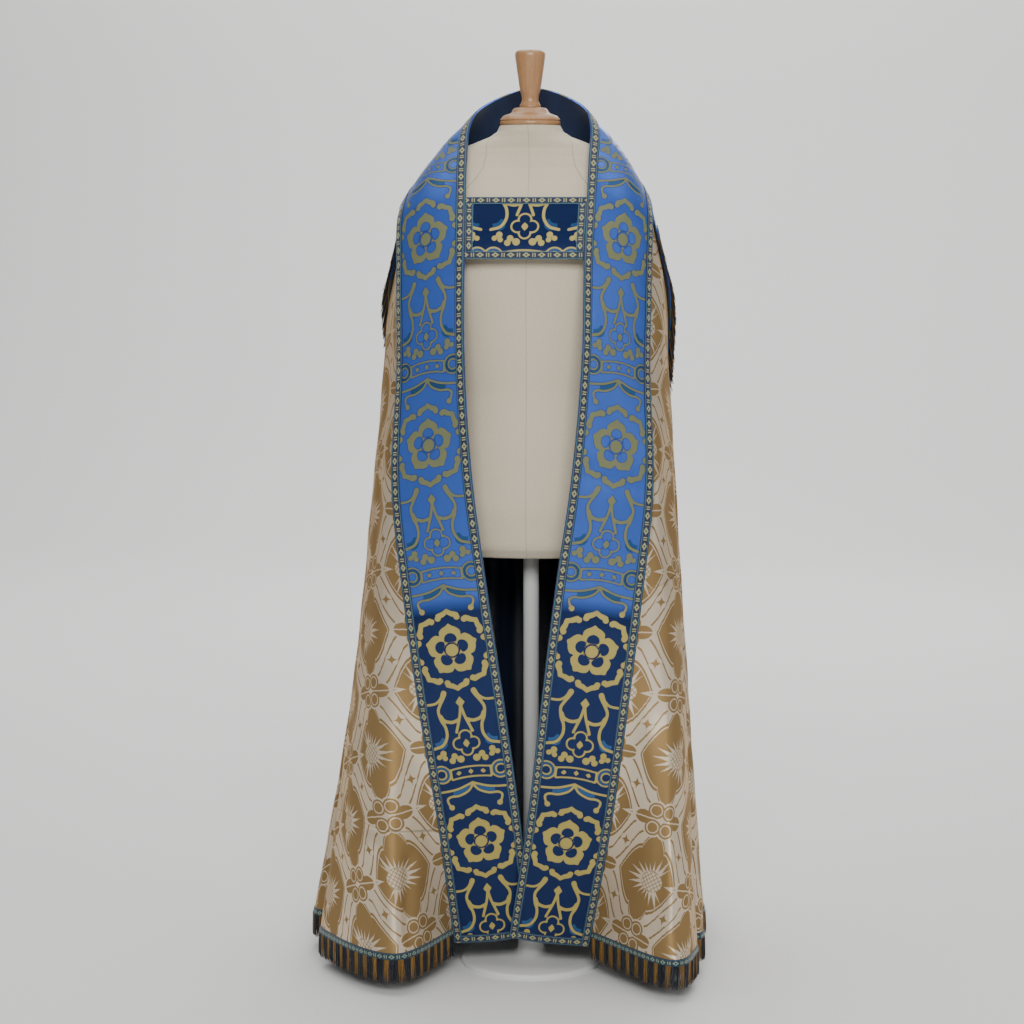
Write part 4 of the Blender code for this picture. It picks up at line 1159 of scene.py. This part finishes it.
across, along = np.meshgrid(
    np.linspace(0, 1, 101), np.linspace(MORSE_TOP_AT, MORSE_FOOT_AT, 57), indexing="ij"
)
morse_outer = morse_face(across, along)
morse_over, morse_down = np.gradient(morse_outer, axis=0), np.gradient(morse_outer, axis=1)
morse_normal = unit(np.cross(morse_down, morse_over))
morse_width = float(np.linalg.norm(morse_outer[-1, 28] - morse_outer[0, 28]))
morse_x = (across - 0.5) * morse_width
morse = shell(
    "morse_strap",
    morse_outer,
    morse_outer - morse_normal * BAND_WALL,
    [brocade, lining],
    (2, 2),
    np.stack([morse_x, along + MORSE_CUT_AT], axis=-1),
    woven(morse_x / MM, (along - MORSE_TOP_AT) / MM - MORSE_ROSE_AT),
)
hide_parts("morse")


# Galloon braid
# Woven trimming 16 mm wide: navy, with a green-gold thread near each edge and a row of gold lozenges and
# double bars down the middle. It is machined on along both edges of the band, its foot and the morse.

GALLOON_REPEAT_MM = 26
BRAID_HIGH = 1.4 * MM


def make_galloon(name, repeat, half, ground_hex, gold_hex, edge_hex):
    """Woven galloon: cords of gold yarn stand up from a ribbed navy ground. The ribs are 1.3 mm apart."""
    finish, tree, shader = new_finish(name, Roughness=0.6, Sheen_Weight=0.2)
    along, across = cloth_fields(tree)
    here = (along + repeat / 2).of("WRAP", repeat, 0.0) - repeat / 2
    gem = (abs(here) / (repeat * 0.26) + abs(across) / (half * 0.56) - 1.0) * 3.0
    gem = gem.high(-((abs(here) / 2.2 + abs(across) / 1.8 - 1.0) * 1.4))
    bars = abs(abs(abs(here) - repeat / 2) - 1.9) - 0.95
    bars = bars.high(abs(across) - half * 0.42)
    thread = abs(abs(across) - half * 0.74) - 0.55
    picot = (along * (2 * math.pi / 3.2)).of("SINE") * 0.45
    raised = gem.low(bars).inside(0.35)
    line = (thread + picot * 0.6).inside(0.3)
    ribs = (along * (2 * math.pi / 1.3)).of("SINE")
    ground = add_node(
        tree, "MixRGB", {0: (ribs * 0.5 + 0.5) * 0.5, 1: colour(ground_hex), 2: colour("0A1228")}
    ).outputs[0]
    edged = add_node(tree, "MixRGB", {0: line, 1: ground, 2: colour(edge_hex)}).outputs[0]
    gold = add_node(
        tree, "MixRGB", {0: (ribs * 0.5 + 0.5) * 0.35, 1: colour(gold_hex), 2: colour("5D6C5C")}
    ).outputs[0]
    both = add_node(tree, "MixRGB", {0: raised, 1: edged, 2: gold}).outputs[0]
    tree.links.new(both, shader.inputs["Base Color"])
    height = raised + line * 0.6 + ribs * 0.2
    bump = add_node(tree, "Bump", {"Height": height, "Strength": 0.6, "Distance": 0.0007})
    tree.links.new(bump.outputs[0], shader.inputs["Normal"])
    return finish


galloon = make_galloon("gold_galloon", GALLOON_REPEAT_MM, 8.0, "0B1940", "A09D6A", "376A78")


def braid_on(name, surface, normal, along, across, width, finish, high=BRAID_HIGH):
    """A braid laid on a surface: rows across it and columns along it, a low arch in section, with its
    underside a hair off the cloth."""
    arch = (1 - np.abs(np.linspace(-1, 1, along.shape[0])) ** 3)[:, None]
    foot = surface(along, across)
    out = normal(along, across)
    top = foot + out * (LAY_GAP + 0.5 * MM + (high - 0.5 * MM) * arch)[..., None]
    run = np.cumsum(
        np.linalg.norm(np.diff(foot, axis=1, prepend=foot[:, :1]), axis=-1).mean(axis=0)
    )
    side = np.linspace(-width / 2, width / 2, along.shape[0])
    uv = np.stack(np.broadcast_arrays(run[None, :], side[:, None]), axis=-1)
    return shell(name, top, foot + out * LAY_GAP * 0.5, [finish], uv=uv)


trims = {-1: [], 1: []}
for side, mark in ((-1, "right"), (1, "left")):
    def surface(along, across, side=side):
        return band_face(side, along, across)

    def outwards(along, across, side=side):
        return band_normal(side, along, across)

    share = BRAID_WIDTH / BAND_WIDTH
    for place, low in (("inner", 0.0), ("outer", 1 - share)):
        along, across = band_grid(low + share * np.linspace(0, 1, 9), 401)
        braid = braid_on(
            f"galloon_{place}_{mark}", surface, outwards, along, across, BRAID_WIDTH, galloon
        )
        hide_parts(f"braid_{place}_{mark}")
        trims[side].append(braid)
    across = np.linspace(share, 1 - share, 101)
    along = band_end(across)[None, :] - BRAID_WIDTH * np.linspace(1, 0, 9)[:, None]
    across = np.broadcast_to(across[None, :], along.shape)
    braid = braid_on(f"galloon_end_{mark}", surface, outwards, along, across, BRAID_WIDTH, galloon)
    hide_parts(f"braid_end_{mark}")
    trims[side].append(braid)


def morse_frame():
    """The braid round the morse: two strips across it and two between them, each a low arch."""
    share, height = MORSE_BRAID / morse_width, MORSE_FOOT_AT - MORSE_TOP_AT
    cut = MORSE_BRAID / height
    made = []
    spans = {
        "top": ((0, 1), (0, cut)),
        "foot": ((0, 1), (1 - cut, 1)),
        "right": ((0, share), (cut, 1 - cut)),
        "left": ((1 - share, 1), (cut, 1 - cut)),
    }
    for mark, ((a, b), (c, d)) in spans.items():
        level = mark in ("top", "foot")
        long_way = np.linspace(a, b, 81) if level else np.linspace(c, d, 41)
        short_way = np.linspace(c, d, 9) if level else np.linspace(a, b, 9)
        short, long = np.meshgrid(short_way, long_way, indexing="ij")
        across, down = (long, short) if level else (short, long)

        def surface(along, over):
            return morse_face(over, along)

        def outwards(along, over):
            point = morse_face(over, along)
            wide = morse_face(over + STEP, along) - point
            tall = morse_face(over, along + STEP) - point
            return unit(np.cross(tall, wide))

        along = MORSE_TOP_AT + down * height
        made.append(
            braid_on(f"morse_galloon_{mark}", surface, outwards, along, across, MORSE_BRAID, galloon)
        )
    return made


morse_braids = morse_frame()
for braid in morse_braids:
    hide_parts("morse_braid")


# Block fringe
# A narrow woven header in navy and teal, and from it cut yarns in blocks of navy and old gold.
# The header is sewn over the hem and over the hood's edge, and the cut ends are a little frayed.

HEADER_WIDTH = 13 * MM
FRINGE_DROP = 38 * MM
NAVY_BLOCK, GOLD_BLOCK = 14.5 * MM, 9.5 * MM

header_braid = make_galloon("fringe_header", 22, 6.5, "0A1C30", "74907E", "1B4656")


def make_yarn():
    """Cut rayon yarn: soft and slightly glossy, navy or old gold by its block, darker towards its lower end.
    """
    finish, tree, shader = new_finish("fringe_yarn", Roughness=0.6, Sheen_Weight=0.06)
    block = add_node(tree, "Attribute", attribute_name="block").outputs["Fac"]
    tip = Field(tree, add_node(tree, "Attribute", attribute_name="tip").outputs["Fac"])
    tone = Field(tree, add_node(tree, "Attribute", attribute_name="tone").outputs["Fac"])
    gold = add_node(tree, "MixRGB", {0: tone, 1: colour("805C16"), 2: colour("5A400F")}).outputs[0]
    navy = add_node(tree, "MixRGB", {0: tone, 1: colour("030611"), 2: colour("081422")}).outputs[0]
    both = add_node(tree, "MixRGB", {0: block, 1: navy, 2: gold}).outputs[0]
    ended = add_node(tree, "MixRGB", {0: tip * 0.45, 1: both, 2: colour("1A1C22")}).outputs[0]
    tree.links.new(ended, shader.inputs["Base Color"])
    return finish


yarn = make_yarn()


def hang_yarns(name, roots, outs, drops, blocks, seed, node):
    """Many thin three-sided yarns. Each starts at its root and hangs along its drop, with a small random
    lean, bow and length, and tapers at its end."""
    rng = np.random.default_rng(seed)
    count, rings = len(roots), 4
    along = unit(drops)
    side = unit(np.cross(along, outs))
    length = np.linalg.norm(drops, axis=1) * rng.uniform(0.90, 1.06, count)
    lean = rng.normal(0, 0.035, count)
    bow = rng.normal(0, 0.030, count)
    share = np.linspace(0, 1, rings)
    radius = 0.62 * MM * np.array([0.9, 1.0, 1.0, 0.6])
    turn = rng.uniform(0, 2 * math.pi, count)
    sway = lean[:, None] * share + bow[:, None] * share**2
    middle = (
        roots[:, None]
        + along[:, None] * (length[:, None] * share)[..., None]
        + side[:, None] * (length[:, None] * sway)[..., None]
        + outs[:, None] * (length[:, None] * rng.normal(0, 0.02, count)[:, None] * share)[..., None]
    )
    angle = turn[:, None] + np.arange(3) * 2 * math.pi / 3
    ring = np.cos(angle)[..., None] * side[:, None] + np.sin(angle)[..., None] * outs[:, None]
    points = middle[:, :, None] + ring[:, None] * radius[None, :, None, None]
    at = np.arange(points.size // 3).reshape(count, rings, 3)
    nxt = np.roll(at, -1, axis=2)
    sides = np.stack([at[:, :-1], at[:, 1:], nxt[:, 1:], nxt[:, :-1]], axis=-1)
    faces = sides.reshape(-1, 4).tolist() + at[:, 0].tolist() + at[:, -1, ::-1].tolist()
    marks = {
        "tip": np.broadcast_to(share[None, :, None] ** 4, at.shape),
        "tone": np.broadcast_to(rng.uniform(0, 1, count)[:, None, None], at.shape),
        "block": np.broadcast_to(blocks[:, None, None], at.shape),
    }
    piece = put_mesh(name, points, faces, [yarn], marks=marks)
    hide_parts(node)
    return piece


def along_line(points, gap):
    """Even places along a line of points: their distances, and a function that reads any array there."""
    run = np.concatenate([[0], np.cumsum(np.linalg.norm(np.diff(points, axis=0), axis=1))])
    places = np.arange(gap / 2, run[-1], gap)
    return places, lambda values: np.stack([np.interp(places, run, v) for v in values.T], axis=1)


def block_at(places):
    """1 in a gold block and 0 in a navy one."""
    return ((places % (NAVY_BLOCK + GOLD_BLOCK)) > NAVY_BLOCK).astype(float)


def body_out(turn, fall):
    """The half circle's outward direction."""
    return surface_normal(body_smooth, turn, fall)


HEADER_FALL = HEADER_WIDTH / (YOKE_Z - HEM_Z)
FRINGE_END = 0.9985
hem_turns = turns_between(-1.0, 1.0, 16, 80) * FRINGE_END
fall, turn = np.meshgrid(np.linspace(1 - HEADER_FALL, 1, 7), hem_turns, indexing="ij")
hem_header = braid_on(
    "hem_header", body_face, body_out, turn, fall, HEADER_WIDTH, header_braid
)
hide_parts("hem_fringe")

fine_turns = turns_between(-1.0, 1.0, 40, 120) * FRINGE_END
hem_line = body_face(fine_turns, np.ones_like(fine_turns))
hem_out = body_out(fine_turns, np.ones_like(fine_turns))
for layer, gap, stand, seed in (("inner", 1.05 * MM, 0.7 * MM, 3), ("outer", 1.15 * MM, 1.7 * MM, 4)):
    places, read = along_line(hem_line, gap)
    roots = read(hem_line) + unit(read(hem_out)) * stand + [0, 0, 1.5 * MM]
    drops = np.tile([0, 0, -FRINGE_DROP - 1.0 * MM], (len(roots), 1))
    name, blocks = f"hem_yarns_{layer}", block_at(places)
    hang_yarns(name, roots, unit(read(hem_out)), drops, blocks, seed, "hem_fringe")

edge_t = np.linspace(-1, 1, 241) * HOOD_TOPS[-1]
foot, foot_out = hood_face(edge_t, np.ones_like(edge_t))
before, _ = hood_face(edge_t, np.full_like(edge_t, 0.98))
away = unit(np.cross(unit(np.gradient(foot, axis=0)), foot_out))
away = np.where(((foot - before) * away).sum(axis=-1, keepdims=True) < 0, -away, away)
fallen = np.array([0, 0, -1.0]) + 0.35 * away
fallen = fallen - foot_out * ((fallen * foot_out).sum(axis=-1, keepdims=True) - 0.02)
drop = unit(fallen) * FRINGE_DROP
width = np.linspace(HEADER_WIDTH, 0, 7)[:, None]
header_points = foot[None] - away[None] * width[..., None]


def hood_braid(points, out):
    """The header on the hood's edge, a strip inwards from it with a low arch."""
    arch = (1 - np.abs(np.linspace(-1, 1, len(points))) ** 3)[:, None, None] * 0.9 * MM
    run = np.cumsum(np.linalg.norm(np.diff(points[-1], axis=0, prepend=points[-1][:1]), axis=-1))
    uv = np.stack(np.broadcast_arrays(run[None], np.linspace(-6.5, 6.5, 7)[:, None] * MM), axis=-1)
    top = points + out * (1.1 * MM + arch)
    return shell("hood_header", top, points + out * 0.3 * MM, [header_braid], uv=uv)


hood_header = hood_braid(header_points, foot_out[None])
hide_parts("hood_fringe")
places, read = along_line(foot, 1.0 * MM)
hood_yarns = hang_yarns(
    "hood_yarns",
    read(foot) + unit(read(foot_out)) * 1.2 * MM,
    unit(read(foot_out)),
    read(drop),
    block_at(places),
    5,
    "hood_fringe",
)


# The flat cut of the half circle's widths and the hood
# Each width's flat size and area come from its table and the half circle's radius, and the hood's area from
# its grid; nothing more is done with them.

for mark, start, end in WIDTHS:
    size, area = flat_cut(start, end)
    mark == "back"
for side in (-1, 1):
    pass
hood_area = float(
    np.linalg.norm(
        np.cross(
            hood_outer[1:, 1:] - hood_outer[:-1, :-1], hood_outer[1:, :-1] - hood_outer[:-1, 1:]
        ),
        axis=-1,
    ).sum()
    / 2
)


# Studio
# A pale sweep of paper, floor and backdrop in one, under a large soft light over the camera, one overhead,
# two weak ones at the sides, one on the backdrop and one behind. None of it belongs to the object.

CAMERA_AZIMUTH, CAMERA_PITCH = 4.5, 6.5
CAMERA_DISTANCE, CAMERA_HEIGHT = 4.3, 1.30
OBJECT_FORWARD = 0.025
LENS_MM = 87.19
SHIFT_X = -0.0176


def paper_sweep():
    """A floor that curves up into a backdrop: a quarter circle joins a level and an upright line."""
    run = np.linspace(-8.0, 5.5, 40)
    bend = np.linspace(0, math.pi / 2, 24)[1:]
    rise = np.linspace(2.0, 7.0, 20)[1:]
    y = np.concatenate([run, 5.5 + 2.0 * np.sin(bend), np.full_like(rise, 7.5)])
    z = np.concatenate([0 * run, 2.0 - 2.0 * np.cos(bend), rise])
    x = np.linspace(-9, 9, 20)
    points = np.stack(np.broadcast_arrays(x[:, None], y[None], z[None]), axis=-1)
    at = np.arange(points.size // 3).reshape(points.shape[:2])
    faces = np.stack([at[:-1, :-1], at[1:, :-1], at[1:, 1:], at[:-1, 1:]], axis=-1)
    mesh = bpy.data.meshes.new("paper_sweep")
    mesh.from_pydata(points.reshape(-1, 3).tolist(), [], faces.reshape(-1, 4).tolist())
    mesh.shade_smooth()
    paper, tree, shader = new_finish("pale_paper", Roughness=0.9)
    fibre = add_node(tree, "TexNoise", {"Scale": 3.0, "Detail": 4.0}).outputs[0]
    tone = add_node(tree, "MixRGB", {0: fibre, 1: colour("E6E6E4"), 2: colour("E1E1E0")}).outputs[0]
    tree.links.new(tone, shader.inputs["Base Color"])
    mesh.materials.append(paper)
    sweep = bpy.data.objects.new("paper_sweep", mesh)
    bpy.context.scene.collection.objects.link(sweep)


def soft_light(name, place, aim, size, power):
    """A white lamp with a rectangle for its face, turned from its place towards its aim."""
    light = bpy.data.lights.new(name, "AREA")
    light.shape = "RECTANGLE"
    light.size, light.size_y = size
    light.energy = power
    lamp = bpy.data.objects.new(name, light)
    bpy.context.scene.collection.objects.link(lamp)
    lamp.location = place
    direction = bpy.data.objects.new(name + "_aim", None)
    direction.location = aim
    way = direction.location - lamp.location
    lamp.rotation_euler = way.to_track_quat("-Z", "Y").to_euler()
    bpy.data.objects.remove(direction)


paper_sweep()
soft_light("key_light", (0.5, -4.6, 2.9), (0, 0, 0.9), (2.6, 1.5), 205)
soft_light("top_light", (0, 0.4, 4.6), (0, 0.4, 0), (5.0, 4.0), 150)
soft_light("left_light", (-4.2, -1.6, 1.9), (0, 0, 0.8), (1.4, 2.2), 3)
soft_light("right_light", (4.2, -1.6, 1.9), (0, 0, 0.8), (1.4, 2.2), 12)
soft_light("wall_light", (0, 3.6, 5.4), (0, 7.5, 1.0), (6.0, 1.2), 370)
soft_light("rear_light", (0.8, 5.0, 3.4), (0, 0, 0.8), (2.4, 1.4), 40)

world = bpy.context.scene.world or bpy.data.worlds.new("studio")
bpy.context.scene.world = world
world.use_nodes = True
world.node_tree.nodes["Background"].inputs["Color"].default_value = colour("E6E8EC")
world.node_tree.nodes["Background"].inputs["Strength"].default_value = 0.20

azimuth = math.radians(CAMERA_AZIMUTH)
camera = bpy.data.objects.new("camera", bpy.data.cameras.new("camera"))
bpy.context.scene.collection.objects.link(camera)
camera.location = (
    CAMERA_DISTANCE * math.sin(azimuth),
    -CAMERA_DISTANCE * math.cos(azimuth) - OBJECT_FORWARD,
    CAMERA_HEIGHT,
)
camera.rotation_euler = (math.radians(90 - CAMERA_PITCH), 0, azimuth)
camera.data.lens = LENS_MM
camera.data.sensor_width = 36
camera.data.shift_x = SHIFT_X
bpy.context.scene.camera = camera
